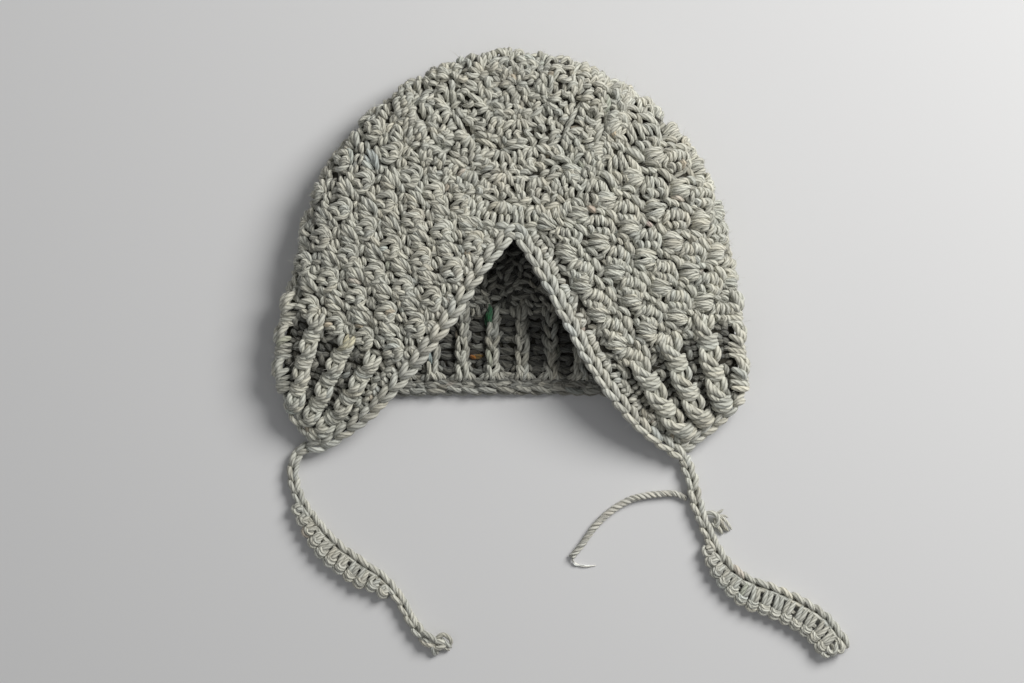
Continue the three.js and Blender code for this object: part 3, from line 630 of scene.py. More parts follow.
# measured from the hole in the middle of the repeat
RIGHT_SHELL = [
    # fan of strands that run level and sink into the hole at its right end
    ([(-23.0, -4.6), (-15.5, -7.8), (-6.8, -6.0)], (-1.3, 2.1, 0.5), 0.98),
    ([(-24.4, -1.8), (-16.2, -4.8), (-7.4, -4.0), (-1.4, -2.0)], (-1.6, 3.1, 2.4, -0.4), 1.0),
    ([(-24.6, 1.4), (-16.8, -1.2), (-9.5, -1.2), (-2.4, -0.2)], (-1.7, 2.7, 2.3, -0.3), 1.0),
    ([(-24.0, 4.6), (-16.4, 2.4), (-9.4, 1.4), (-2.8, 1.2)], (-1.5, 3.3, 2.7, -0.2), 1.0),
    ([(-21.5, 7.4), (-14.5, 5.8), (-8.0, 4.0), (-3.0, 2.4)], (-1.2, 2.5, 2.1, -0.2), 0.98),
    ([(-15.0, 10.0), (-9.6, 7.6), (-3.8, 4.4)], (-0.8, 2.2, 0.1), 0.98),
    # fingers that hang from the hole
    ([(-1.0, 4.0), (-3.6, 8.5), (-5.8, 13), (-6.2, 17)], (-0.8, 1.9, 1.5, -0.4), 1.1),
    ([(1.4, 3.0), (0.6, 8), (-0.8, 13.6)], (-1.0, 2.5, 1.0), 1.12),
    ([(4.2, 3.0), (4.6, 8.5), (4.2, 14.2)], (-1.0, 2.9, 1.4), 1.15),
    ([(7.2, 2.6), (9.0, 8), (9.8, 14)], (-0.8, 3.0, 1.5), 1.15),
    ([(10.8, 3.2), (13.4, 8.6), (14.6, 14.6)], (-0.5, 2.7, 1.3), 1.12),
    ([(14.4, 4.2), (17.8, 11), (19.0, 17), (17.8, 23.5)], (-0.5, 2.1, 1.9, -0.3), 1.12),
    # ends of the fingers
    ([(-2.8, 14.8), (0.6, 17.2), (1.0, 21.8)], (0.0, 2.6, -0.2), 1.2),
    ([(3.4, 15.4), (6.6, 18.0), (6.4, 23.2)], (0.4, 2.9, -0.2), 1.25),
    ([(8.8, 15.2), (12.2, 18.0), (11.4, 23.6)], (0.4, 2.9, -0.2), 1.25),
    ([(13.6, 15.8), (16.2, 19.0), (14.8, 24)], (0.2, 2.4, -0.4), 1.15),
    ([(-7.6, 18.2), (-3.8, 20.2), (-0.4, 22.4)], (-0.6, 1.2, -0.6), 1.1),
    # leaves of the chain to the next repeat
    ([(-4.2, -8.6), (-0.2, -5.2), (4.4, -1.6)], (-0.3, 1.6, -0.5), 1.25),
    ([(5.0, -8.4), (11.5, -7.2), (17.5, -3.6)], (-0.5, 1.9, -0.3), 1.25),
    ([(4.4, -5.2), (7.8, -2.8), (11.6, 1.0)], (-0.2, 1.7, -0.4), 1.15),
    ([(13.4, -1.4), (19, 2.6), (25.8, 9.8)], (-0.4, 2.1, -0.5), 1.5),
]
RIGHT_FIGURE = [([(x + 12.8, y - 1.0) for x, y in pts], heights, r) for pts, heights, r in RIGHT_SHELL]


def figure_axes(side, x, y):
    """Turns pixel offsets at a reference pixel into (p, q) on the cloth there."""
    X, Y = from_pixel(x, y)
    g, n = GRID[side], NORMAL[side]
    d = (g[..., 0] - X) ** 2 + (g[..., 1] - Y) ** 2 + np.where(n[..., 2] < 0.05, 1e6, 0)
    i, j = np.unravel_index(d.argmin(), d.shape)
    pl = Place(float(T_ROWS[i]), side * j / COLUMNS, side)
    a = pl.e1[:2] / np.linalg.norm(pl.e1[:2])
    b = np.array([a[1], -a[0]])
    if b @ pl.e2[:2] < 0:
        b = -b

    def turn(pts):
        v = np.array(pts, float) * PX * np.array([1, -1])
        return np.stack([v @ a, v @ b], 1)
    return turn


left_turn = figure_axes(-1, 370, 226)
right_turn = figure_axes(1, 654, 260)


def figure(yarn, place, table, turn, thick=1.2, inside=False, drop=-0.95, top=None, jitter=0.22):
    for pts, heights, r in table:
        if top is not None and min(y for x, y in pts) < top:
            continue
        lay(yarn, place, turn(pts), heights, r * thick, inside=inside, drop=drop, jitter=jitter)


# ================================================================ main fabric
crown, left_panel, right_panel = Yarn(), Yarn(), Yarn()
crown.tone = 0.95

# panels: repeats stand in columns beside the face opening and in rows from the crown
LEFT_LATTICE = {"row0": 79.5, "row": 16.1, "col0": 11.5, "col": 14.6, "slope": 0.105}
RIGHT_LATTICE = {"row0": 67.6, "row": 17.4, "col0": 14.0, "col": 15.2, "slope": 0.115}
COLUMNS_PAST_FOLD = 2

for side, table, turn, L, yarn in ((-1, LEFT_FIGURE, left_turn, LEFT_LATTICE, left_panel),
                                   (1, RIGHT_FIGURE, right_turn, RIGHT_LATTICE, right_panel)):
    for r in range(-1, 6):
        t0 = L["row0"] + r * L["row"]
        if t0 > RIB_START - (1 if side < 0 else 7):
            break
        i = int(np.interp(t0, T_ROWS, np.arange(len(T_ROWS))))
        reach = FRONT_LENGTH[side][i] + 22
        k = -1 if side < 0 else 0
        while True:
            s = L["col0"] + k * L["col"]
            if s > reach:
                break
            t = t0 + L["slope"] * (s - 38) + rng.normal(0, 0.4)
            t = min(t, RIB_START + 2)
            if s > (2 if r >= 0 else 25):
                figure(yarn, Place(t, column_at(side, t, s + rng.normal(0, 0.4)), side), table, turn,
                       thick=1.05, top=-27 if r < 0 else None, jitter=0.24 if side < 0 else 0.42)
            k += 1

# crown: rounds of a leaf chain, a ring of upright strands and a ring of small curls
RINGS = [
    # t at the front centre, t at the sides and back, last one without curls
    {"front": 14.6, "side": 15.2, "curls": True},
    {"front": 29.0, "side": 29.6, "curls": True},
    {"front": 40.5, "side": 43.5, "curls": True},
    {"front": 51.8, "side": 56.8, "curls": False},
]


def ring_t(ring, c):
    w = max(0, 1 - abs(c) / 0.16)
    wave = 1.1 * math.sin(9.4 * c + ring["side"]) + 0.8 * math.sin(22 * c + 2 * ring["side"])
    return ring["side"] + (ring["front"] - ring["side"]) * w * w * (3 - 2 * w) + wave * min(1, ring["side"] / 30)


def ring_places(ring, offset, pitch, phase=0.0):
    """Places at even distances round one ring, offset mm outside it."""
    c = np.linspace(-1, 1, 721)
    t = np.array([ring_t(ring, v) for v in c]) + offset
    P, _ = fabric(t, c)
    d = arc(P)
    n = int(round(d[-1] / pitch))
    for k in range(n):
        s = (k + phase) * d[-1] / n
        cc = float(np.interp(s, d, c))
        yield Place(float(np.interp(s, d, t)), cc), d[-1] / n


CELL = 14.6
for n_ring, ring in enumerate(RINGS):
    for place, step in ring_places(ring, 0, CELL, 0.5 * (n_ring % 2) + 0.1):
        if fabric(place.t, place.c)[1][2] < -0.96:
            continue
        if not ring["curls"] and abs(place.c) > 0.17:
            continue
        k = step / CELL
        way = place.side
        # chain leaves from one hole to the next
        lay(crown, place, [(1.6 * way, -1.2), (4.4 * k * way, -1.9), (7.8 * k * way, -0.5)], (-0.9, 2.2, 0.0), 1.3, jitter=0.5)
        lay(crown, place, [(6.8 * k * way, -2.3), (10.0 * k * way, -1.7), (13.0 * k * way, -0.9)], (0.0, 2.1, -0.9), 1.3, jitter=0.5)
        lay(crown, place, [(2.0 * k * way, 1.1), (7.0 * k * way, 0.9), (12.0 * k * way, 1.4)], (-0.9, 1.5, -0.9), 1.25, jitter=0.5)
        # strands that spread outward from the hole
        n_fan = int(rng.integers(4, 6))
        wide = rng.uniform(3.9, 5.2) * k
        off = rng.normal(0, 0.5)
        for p0 in np.linspace(-wide, wide, n_fan):
            lay(crown, place, [(p0 * 0.22, 1.4 + 0.12 * abs(p0)), (p0 * 0.7 + off * 0.5, 4.2), (p0 + off, 7.2 + rng.normal(0, 0.4))],
                (-1.2, 2.9, 1.0), 1.27, jitter=0.4)
        for p0 in (6.5, 8.3):
            lay(crown, place, [(p0 * k, 2.2), (p0 * k - 0.3, 4.6), (p0 * k * 0.97, 7.6)], (-0.6, 2.0, 0.2), 1.22, jitter=0.45)
        if ring["curls"]:
            # short ends beyond them, in two uneven rows
            for p0 in np.linspace(-6.2, 5.8, 5):
                b = rng.choice([-0.7, 0.7])
                lay(crown, place, [(p0 * k - b, 6.6), (p0 * k + b, 8.6), (p0 * k - b * 0.4, 10.8)], (0.4, 2.9, 0.2), 1.28, jitter=0.45)
            for p0 in np.linspace(-5.0, 6.6, 5):
                b = rng.choice([-1.4, -0.5, 0.9])
                lay(crown, place, [(p0 * k - b, 9.8), (p0 * k + b * 0.4, 11.6), (p0 * k + b, 13.4)], (0.0, 2.3, -0.4), 1.24, jitter=0.5)

# crown centre: uneven strands round the drawn-in hole, some crossing, then short ends
a = 0.2
while a < 2 * math.pi + 0.1:
    far = rng.uniform(4.4, 8.2)
    turn = rng.uniform(-0.55, 0.55)
    near = rng.uniform(0.9, 2.0)
    P, N = [], []
    for rr, an, hh in ((near, a, -1.4), (near + (far - near) * 0.4, a + turn * 0.3, rng.uniform(0.6, 2.2)), (near + (far - near) * 0.8, a + turn, 1.8), (far, a + turn * 1.2, -0.2)):
        p, n = fabric(max(0.6, rr), an / math.pi - 1)
        P.append(p + n * hh)
        N.append(n)
    crown.strand(P, N, rng.uniform(1.1, 1.35), taper=0.5, tint=strand_tint() * rng.uniform(0.72, 0.95))
    a += rng.uniform(0.34, 0.62)
for n_short in range(30):
    a = rng.uniform(0, 2 * math.pi)
    lean = rng.choice([-0.42, -0.2, 0.22, 0.4])
    r0 = rng.uniform(4.6, 9.6)
    P, N = [], []
    for rr, an, hh in ((r0, a, -0.2), (r0 + 1.6, a + lean * 0.6, rng.uniform(1.2, 2.6)), (r0 + 3.0, a + lean, -0.2)):
        p, n = fabric(rr, an / math.pi - 1)
        P.append(p + n * hh)
        N.append(n)
    crown.strand(P, N, 1.22, taper=0.5, tint=strand_tint() * rng.uniform(0.78, 1.0))

# short rows on the centre line between the last ring and the face opening
for s in np.arange(-22, 23, 3.1):
    side = -1 if s < 0 else 1
    for t0, t1 in ((59.2, 64.6),):
        pl = Place(t0, column_at(side, t0, abs(s)), side)
        lay(crown, pl, [(0, 0), (0.4, (t1 - t0) * 0.5), (0, t1 - t0)], (-0.2, 2.6, 0.4), 1.2)
for s in np.arange(-19, 20, 6.6):
    side = -1 if s < 0 else 1
    pl = Place(65.0, column_at(side, 65.0, abs(s)), side)
    lay(crown, pl, [(-3.4, 0.6), (0, -0.6), (3.8, 0.4)], (-0.4, 2.4, -0.4), 1.45)
    lay(crown, pl, [(-2.6, 2.0), (0.6, 1.8), (3.6, 2.2)], (-0.4, 1.6, -0.4), 1.3)

# lower stitches between the raised ones, all over the fabric, painted darker as shade, more so past t 50
ground = Yarn()
for t in np.arange(3.0, RIB_START + 4, 4.1):
    for side in (-1, 1):
        i = int(round(float(np.interp(t, T_ROWS, np.arange(len(T_ROWS))))))
        d = arc(GRID[side][i])
        for s in np.arange(rng.uniform(0.5, 4.2), d[-1], 4.4):
            c = side * float(np.interp(s, d, np.arange(COLUMNS + 1))) / COLUMNS
            if fabric(t, c)[1][2] < -0.97:
                continue
            place = Place(t + rng.normal(0, 0.5), c, side)
            a = rng.uniform(0, math.pi)
            u = np.array([math.cos(a), math.sin(a)]) * rng.uniform(3.0, 4.2)
            bend = np.array([-u[1], u[0]]) * rng.uniform(-0.25, 0.25)
            if s < 6 and t > SPLIT:
                u, bend = np.array([0.6, 3.0]), np.array([0.3, 0])
            lay(ground, place, [-u, bend, u], (-1.6, rng.uniform(-0.5, 0.9), -1.6), 1.4, sides=6, step=2.0,
                tint=strand_tint() * float(np.interp(t, (50, 75), (0.82, 0.66))))

# closer ground round the crown centre, also painted darker as shade
for t in (3.0, 6.0, 9.0, 12.0, 15.0, 18.0):
    n = max(5, int(2 * math.pi * t / 4.2))
    for k in range(n):
        a = 2 * math.pi * (k + rng.uniform(0, 1)) / n
        lean = rng.uniform(-0.8, 0.8) * 2.4 / t
        P, N = [], []
        for rr, an, hh in ((t - 1.9, a - lean / 2, -0.9), (t, a, rng.uniform(0.7, 1.5)), (t + 1.9, a + lean / 2, -0.9)):
            p, nn = fabric(max(0.6, rr), (an % (2 * math.pi)) / math.pi - 1)
            P.append(p + nn * hh)
            N.append(nn)
        ground.strand(P, N, 1.4, sides=6, step=1.6, taper=0.55, tint=strand_tint() * rng.uniform(0.62, 0.85))

# ================================================================ ribbing
ribs = Yarn()
RIB_FIGURE = [
    # a along the rib (down), b across it, in mm: crossing leaves, then a bundle that wraps over the rib
    ([(-1.5, 0.3), (3.0, 0.0), (7.6, 0.2)], (0.6, 1.7, 0.6), 1.45),
    ([(-2.4, -3.2), (1.6, -3.5), (6.6, -1.3)], (0.8, 3.2, 2.2), 1.5),
    ([(-1.4, 3.3), (2.4, 3.2), (6.4, 1.5)], (0.6, 2.9, 2.0), 1.45),
    ([(0.6, -2.4), (4.2, -0.9), (8.6, 2.2)], (1.2, 3.8, 1.8), 1.45),
    ([(3.4, -4.6), (6.0, -3.2), (9.4, -0.6)], (-0.4, 3.1, 2.2), 1.4),
    ([(6.9, -5.0), (8.7, -1.8), (9.8, 1.6), (9.6, 4.9)], (-1.0, 3.6, -0.9), 1.45),
    ([(9.6, -5.0), (11.4, -1.7), (12.2, 1.7), (11.8, 4.9)], (-1.0, 3.9, -0.9), 1.45),
    ([(12.4, -4.9), (13.9, -1.6), (14.3, 1.9), (13.6, 4.6)], (-1.0, 3.5, -0.9), 1.45),
]


def rib_column(side, t, rib):
    """Signed column of a rib number (0 back centre, 9 side fold, 13 front edge)."""
    i = min(len(T_ROWS) - 1, int(round(float(np.interp(t, T_ROWS, np.arange(len(T_ROWS)))))))
    if rib <= RIBS_BACK:
        k = FOLD_COLUMN * rib / RIBS_BACK
    else:
        k = FOLD_COLUMN + (1 - FOLD_COLUMN) * (rib - RIBS_BACK) / RIBS_FLAP
    return side * (1 - k)


def rib_line(side, rib, n=40):
    """Middle line of a rib: points and normals."""
    t = np.linspace(RIB_START - 1.5, HEM, n)
    c = np.array([rib_column(side, v, rib) for v in t])
    P, N = fabric(t, c, side)
    return P, N


def along_line(P, N, pts, heights, flip=1.0):
    """Points at a along and b across a line on the fabric, heights above it."""
    d = arc(P)
    pts = np.array(pts, float)
    a = np.clip(pts[:, 0], -3, d[-1] + 3)
    Q, U = at_length(P, d, np.clip(a, 0, d[-1])), at_length(N, d, np.clip(a, 0, d[-1]))
    T = at_length(np.gradient(P, axis=0), d, np.clip(a, 0, d[-1]))
    T /= np.linalg.norm(T, axis=1, keepdims=True)
    U /= np.linalg.norm(U, axis=1, keepdims=True)
    B = np.cross(U, T)
    extra = np.where(a < 0, a, np.where(a > d[-1], a - d[-1], 0))
    Q = Q + T * extra[:, None] + B * (pts[:, 1] * flip)[:, None]
    h = np.interp(np.linspace(0, 1, len(pts)), np.linspace(0, 1, len(heights)), heights)
    return Q, U, h


def rib(yarn, side, number, start, unit, inside=False, wide=1.0, high=1.0, tone=1.0, thick=1.0):
    P, N = rib_line(side, number)
    d = arc(P)[-1]
    if inside:
        N = -N
    a0 = start
    while a0 < d - 4:
        room = min(1.0, (d - a0) / unit)
        for pts, heights, r in RIB_FIGURE:
            pts = np.array(pts, float) + rng.normal(0, 0.22, (len(pts), 2))
            pts[:, 0] = pts[:, 0] * unit / 15.6 + a0
            if pts[:, 0].max() > d + 0.5:
                continue
            pts[:, 1] *= wide
            Q, U, h = along_line(P, N, pts, heights, flip=side * (-1 if inside else 1))
            h = h * high + rng.normal(0, 0.12)
            yarn.strand(Q + U * h[:, None], U, r * thick * (1 + rng.normal(0, 0.04)), taper=0.5, tint=strand_tint() * tone)
        a0 += unit


for side in (-1, 1):
    for number in (4, 5, 6, 7, 8, 9.15, 10.12, 11.12, 12):
        slim = side < 0 and number > 9.5
        rib(ribs, side, number, 0.5 + rng.uniform(-1.5, 1.5), 12.8 if slim else 15.0, wide=0.82 if slim else 1.04,
            high=1.3, thick=0.93 if slim else 1.06)
    # low strands in the grooves, uneven, with a paler leaf now and then; their dark tints are painted shade in the
    # grooves, darker on the left side, lighter by the front edge
    for number in (4.5, 5.5, 6.5, 7.5, 8.55, 9.64, 10.62, 11.56, 12.5):
        P, N = rib_line(side, number)
        d = arc(P)[-1]
        a = 0.6
        edge_one = number > 12
        shade = 0.85 if edge_one else (0.7 if side < 0 else 0.9)
        while a < d - 2:
            for b in (-1.6, 1.5):
                turn = rng.uniform(-0.7, 0.9)
                Q, U, h = along_line(P, N, [(a + b - 1.2 * turn, b - 1.7), (a + b + rng.normal(0, 0.4), b), (a + b + 1.6 * turn, b + 1.7)],
                                     (-1.8, rng.uniform(-0.4, 0.5), -1.8))
                ribs.strand(Q + U * h[:, None], U, 1.35, taper=0.5, sides=6, step=1.3,
                            tint=strand_tint() * shade * (rng.uniform(0.65, 0.9) if edge_one else rng.uniform(0.24, 0.5)))
            if rng.random() < (0.75 if edge_one else 0.42):
                b = rng.uniform(-2.2, 2.2)
                turn = rng.uniform(-1.2, 1.2)
                Q, U, h = along_line(P, N, [(a - 2.0, b - turn), (a, b), (a + 2.4, b + turn)], (-0.8, 1.2 if edge_one else 0.9, -0.8))
                ribs.strand(Q + U * h[:, None], U, 1.35, taper=0.5, step=1.1, tint=strand_tint() * shade * (0.95 if edge_one else rng.uniform(0.5, 0.8)))
            a += rng.uniform(3.0, 4.2)

# ================================================================ inside of the back, painted dark throughout as shade
inner = Yarn()
inner_lines = []
for k in range(-4, 5):
    # ribs seen from inside stand between the outer ones
    x_rib = -2.0 + 13.1 * (k + 0.5)
    inner_lines.append(x_rib)
    # stretch between two ribs, crossed by level strands, painted darker as shade, some lighter near the hem
    for off in (-0.5, 0.5):
        n2 = abs(x_rib + off * 13.1 - CENTRE_X) / 11.6
        s2 = -1 if x_rib + off * 13.1 < CENTRE_X else 1
        P, N = rib_line(s2, n2)
        d = arc(P)[-1]
        if off < 0 and k > -4:
            continue
        a = 0.0
        while a < d - 2:
            j = rng.normal(0, 0.6, 3)
            Q, U, h = along_line(P, -N, [(a + j[0], -3.6), (a + 0.9 + j[1], 0.0), (a + 0.2 + j[2], 3.6)], (0.4, 2.0 + rng.normal(0, 0.3), 0.4))
            inner.strand(Q + U * h[:, None], U, 1.3, taper=0.5, sides=7, step=1.3,
                         tint=strand_tint() * rng.uniform(0.12, 0.32) * (1.9 if a > d - 11 and rng.random() < 0.6 else 1.0))
            a += rng.uniform(4.4, 5.8)
# main fabric seen from inside: small uneven stitches, painted darker toward the closed end as shade
for t in np.arange(62.0, RIB_START + 3, 3.7):
    for side in (-1, 1):
        i = int(round(float(np.interp(t, T_ROWS, np.arange(len(T_ROWS))))))
        d = arc(GRID[side][i])
        for s in np.arange(rng.uniform(0.3, 3.6), 74, 3.9):
            c = side * float(np.interp(d[-1] - s, d, np.arange(COLUMNS + 1))) / COLUMNS
            place = Place(t + rng.normal(0, 0.6), c, side)
            a = rng.choice([-0.7, 0.75, 1.5, 0.1]) + rng.normal(0, 0.25)
            u = np.array([math.cos(a), math.sin(a)]) * rng.uniform(2.4, 3.6)
            bend = np.array([-u[1], u[0]]) * rng.uniform(-0.4, 0.4)
            lay(inner, place, [-u, bend, u], (0.6, rng.uniform(1.9, 3.6), 0.6), 1.2, sides=6, step=1.4, inside=True,
                tint=strand_tint() * float(np.interp(t, [74, RIB_START], [0.24, 0.72])) * rng.uniform(0.55, 1.15))
# lowest inside stitches, painted near-black as shade
inner_ground = Yarn()
for t in np.arange(60.0, HEM - 5, 3.5):
    for side in (-1, 1):
        i = int(round(float(np.interp(t, T_ROWS, np.arange(len(T_ROWS))))))
        d = arc(GRID[side][i])
        for s in np.arange(rng.uniform(0.5, 4.0), 64, 4.3):
            c = side * float(np.interp(d[-1] - s, d, np.arange(COLUMNS + 1))) / COLUMNS
            place = Place(t + rng.normal(0, 0.5), c, side)
            a = rng.uniform(0, math.pi)
            u = np.array([math.cos(a), math.sin(a)]) * rng.uniform(3.0, 4.2)
            if t > RIB_START:
                u = u * np.array([1.0, 0.35])
            lay(inner_ground, place, [-u, (0, 0), u], (0.4, rng.uniform(1.1, 1.9), 0.4), 1.35,
                sides=5, step=2.1, inside=True, tint=strand_tint() * rng.uniform(0.08, 0.20))


# ================================================================ chains
def chain_links(yarn, P, N, pitch, half, r, start=0.0, rise=1.0, end=None, jitter=0.12, tone=1.0, sides=8, step=0.9,
                painted_shade_ramp=None, low=None):
    """Chain stitches along a line: two leaves a link, each link out of the one before."""
    d = arc(P)[-1]
    stop = d if end is None else end
    a0 = start
    while a0 < stop - pitch * 0.4:
        for b in (-1, 1):
            pts = [(a0 - 0.8, 0.12 * b * half), (a0 + pitch * 0.36, 0.56 * b * half), (a0 + pitch * 0.84, 0.98 * b * half),
                   (a0 + pitch * 1.26, 0.96 * b * half)]
            pts = np.array(pts) + rng.normal(0, jitter, (4, 2))
            pts[:, 0] = np.clip(pts[:, 0], 0, d)
            # low names the side and stretch where the leaves lie lower, beside a band
            sunk = 0.75 if low is not None and b == low[0] and low[1] < a0 < low[2] else 0.0
            Q, U, h = along_line(P, N, pts, (-0.3 * rise - sunk, 1.5 * rise - sunk, 1.1 * rise - sunk, -1.3 * rise - sunk))
            # tone and the ramp darken the leaves along the line: painted shade where it is used
            k = tone if painted_shade_ramp is None else tone * float(np.interp(a0 / max(1e-6, stop), (0, 1), painted_shade_ramp))
            yarn.strand(Q + U * h[:, None], U, r * 1.06 * (1 + rng.normal(0, 0.05)), taper=0.40, sides=sides, step=step,
                        tint=strand_tint() * k)
        a0 += pitch * (1 + float(np.clip(rng.normal(0, 0.05), -0.1, 0.1)))


for x_rib in inner_lines:
    number = abs(x_rib - CENTRE_X) / 11.6
    side = -1 if x_rib < CENTRE_X else 1
    P, N = rib_line(side, number, 60)
    keep = arc(P) < arc(P)[-1] - 3.0
    P, N = P[keep][::-1], N[keep][::-1]
    # chains on the inner ribs, painted darker as shade, more toward the closed end
    chain_links(inner, P - N * 2.7, -N, rng.uniform(6.2, 7.0), 1.75, 1.22, start=rng.uniform(0, 2), rise=1.15, jitter=0.55,
                tone=0.9, sides=7, step=1.2, painted_shade_ramp=(1.0, 0.62))
    chain_links(inner, P - N * 1.4, -N, rng.uniform(6.0, 7.0), 2.7, 1.15, start=rng.uniform(0, 4), rise=0.9, jitter=0.6,
                tone=0.56, sides=5, step=1.5, painted_shade_ramp=(1.0, 0.55))
    # short strands that cross the rib here and there, painted darker toward the closed end as shade
    d = arc(P)[-1]
    a = rng.uniform(2, 6)
    while a < d - 4:
        if rng.random() < 0.6:
            lean = rng.choice([-1, 1])
            Q, U, h = along_line(P, -N, [(a - 2.4, -1.9 * lean), (a, 0.0), (a + 2.2, 1.7 * lean)], (2.2, 5.0, 2.4))
            inner.strand(Q + U * h[:, None], U, 1.1, taper=0.45, sides=7, step=1.1, tint=strand_tint() * float(np.interp(a / d, (0, 1), (0.95, 0.6))))
        a += rng.uniform(5.0, 8.0)
    # the rib spreads into a foot at the hem, its lower strands painted darker as shade
    for b in (-1, 1):
        for pts, hs, k in (([(0.4, 3.5), (2.4, 2.5), (5.4, 0.9)], (1.2, 4.2, 3.6), 0.8), ([(0.9, 5.9), (2.1, 4.4), (3.9, 2.6)], (0.6, 3.0, 2.0), 0.66),
                           ([(4.6, 4.9), (5.6, 3.6), (7.6, 2.0)], (0.6, 2.4, 1.8), 0.45)):
            Q, U, h = along_line(P, -N, [(x, y * b + rng.normal(0, 0.3)) for x, y in pts], hs)
            inner.strand(Q + U * h[:, None], U, 1.15, taper=0.5, sides=7, step=1.1, tint=strand_tint() * k)


# two dyed flecks on the inner ribs, on top of whatever strand lies there
tops = np.vstack(inner.mid)
for (x, y), (dx, dy), c in (((488, 317), (0.4, -2.2), (0.16, 0.50, 0.30)), ((473, 357), (1.5, -0.5), (0.56, 0.34, 0.13))):
    X, Y = from_pixel(x, y, 8.0)
    near = np.hypot(tops[:, 0] - X, tops[:, 1] - Y) < 2.2
    z = float(tops[near, 2].max()) if near.any() else 8.0
    line = np.array([(X - dx, Y - dy, z - 0.2), (X, Y, z + 0.75), (X + dx, Y + dy, z - 0.2)])
    inner.strand(line, np.tile([0, 0, 1.0], (3, 1)), 1.0, sides=8, step=0.7, taper=0.45, tint=np.array(c))


TIE_Z = TIE_R + 0.05
EDGE_ROWS = [197.2, 191, 185, 178, 170, 160, 148, 136, 124, 112, 100, 89, 79, 72.5]


def edge_point(side, t):
    p, n = fabric(t, 0.0005 * side, side)
    return p


edge = [edge_point(-1, t) for t in EDGE_ROWS]
top = fabric(SPLIT, 0.0)[0]
edge += [np.array([CENTRE_X - 2.6, top[1] - 1.0, top[2]]), np.array([CENTRE_X + 2.6, top[1] - 1.0, top[2]])]
edge += [edge_point(1, t) for t in EDGE_ROWS[::-1]]
edge = [np.array([p[0], p[1], max(p[2], EDGING_R + 0.05)]) for p in edge]
left_tie = [np.array([x, y, TIE_Z]) for x, y in LEFT_TIE]
right_tie = [np.array([x, y, TIE_Z]) for x, y in RIGHT_TIE]
CHAIN = smooth_curve(left_tie[::-1] + edge + right_tie, 3000)
chain_d = arc(CHAIN)


def nearest_on_chain(p):
    return float(chain_d[((CHAIN[:, :2] - np.array(p)) ** 2).sum(1).argmin()])


left_corner, right_corner = nearest_on_chain(LEFT_TIE[0]), nearest_on_chain(RIGHT_TIE[0])
apex = nearest_on_chain((CENTRE_X, top[1] - 1.0))


def chain_part(a, b, step=0.8):
    n = max(4, int(abs(b - a) / step))
    return at_length(CHAIN, chain_d, np.linspace(a, b, n + 1))


def way_up(P):
    """Straight up, the same at every point."""
    N = np.zeros_like(P)
    N[:, 2] = 1
    return N


edging = Yarn()
for a, b in ((left_corner, apex - 0.5), (right_corner, apex + 0.5)):
    P = chain_part(a, b)
    P[:, 2] += 0.8
    chain_links(edging, P, way_up(P), 7.3, 2.3, 1.48, rise=1.25, jitter=0.18)
    # the row under the chain, on the fabric side
    side = -1 if a < b else 1
    d = arc(P)[-1]
    s = 1.5
    while s < d - 3:
        off = -side * 1.0
        slant = rng.choice([-1.6, 0.4, 2.4])
        Q, U, h = along_line(P, way_up(P), [(s, -3.4 * side), (s + slant * 0.5, -5.0 * side), (s + slant, -6.8 * side)], (-0.6, 0.5, -1.6))
        edging.strand(Q + U * h[:, None], U, 1.3, taper=0.55)
        s += 3.0

# hem: chain edge of the ribbing, its back half painted darker as shade
for side in (-1, 1):
    for c_a, c_b, tone in ((0.02, 0.56, 1.0), (0.56, 1.0, 0.5)):
        c = np.linspace(c_a, c_b, 80) * side
        P, N = fabric(np.full(80, HEM + 0.6), c, side)
        P[:, 2] = np.maximum(P[:, 2], 2.4)
        chain_links(edging, P, N, 6.5, 1.7, 1.3, rise=0.9, tone=tone)

# inner hem rows at the back, painted dark as shade
c = np.concatenate([np.linspace(-0.55, -1, 60), np.linspace(1, 0.55, 60)[1:]])
for off, z, pitch, half, r, tone in ((-3.1, 3.5, 5.4, 1.4, 1.1, 0.42), (-0.8, 3.2, 8.0, 1.6, 1.25, 0.64)):
    P, _ = fabric(np.full(len(c), HEM + off), c)
    P[:, 2] = z
    chain_links(edging, P, way_up(P), pitch, half, r, rise=0.9, jitter=0.5, tone=tone)

# ================================================================ ties and ends
ties = {}
for name, corner, end, half, r in (("left_tie_chain", left_corner - 0.2, 0.0, 1.75, 1.26),
                                   ("right_tie_chain", right_corner + 0.2, chain_d[-1], 1.9, 1.3)):
    y = Yarn()
    P = chain_part(end, corner)
    U = way_up(P)
    P2 = P.copy()
    P2[:, 2] = TIE_Z - 0.5
    spec = LEFT_BAND if name == "left_tie_chain" else RIGHT_BAND
    run = abs(corner - end)
    chain_links(y, P2, U, 6.0, half, r, rise=0.95, jitter=0.2, low=(1, run * (1 - spec["to"]) + 2.0, run * (1 - spec["from"]) - 6.0))
    chain_links(y, P2 - np.array([0, 0, 0.9]), -U, 6.3, half * 0.8, r * 0.9, start=2.5, rise=0.3)
    ties[name] = (y, chain_part(corner, end, 2.0))


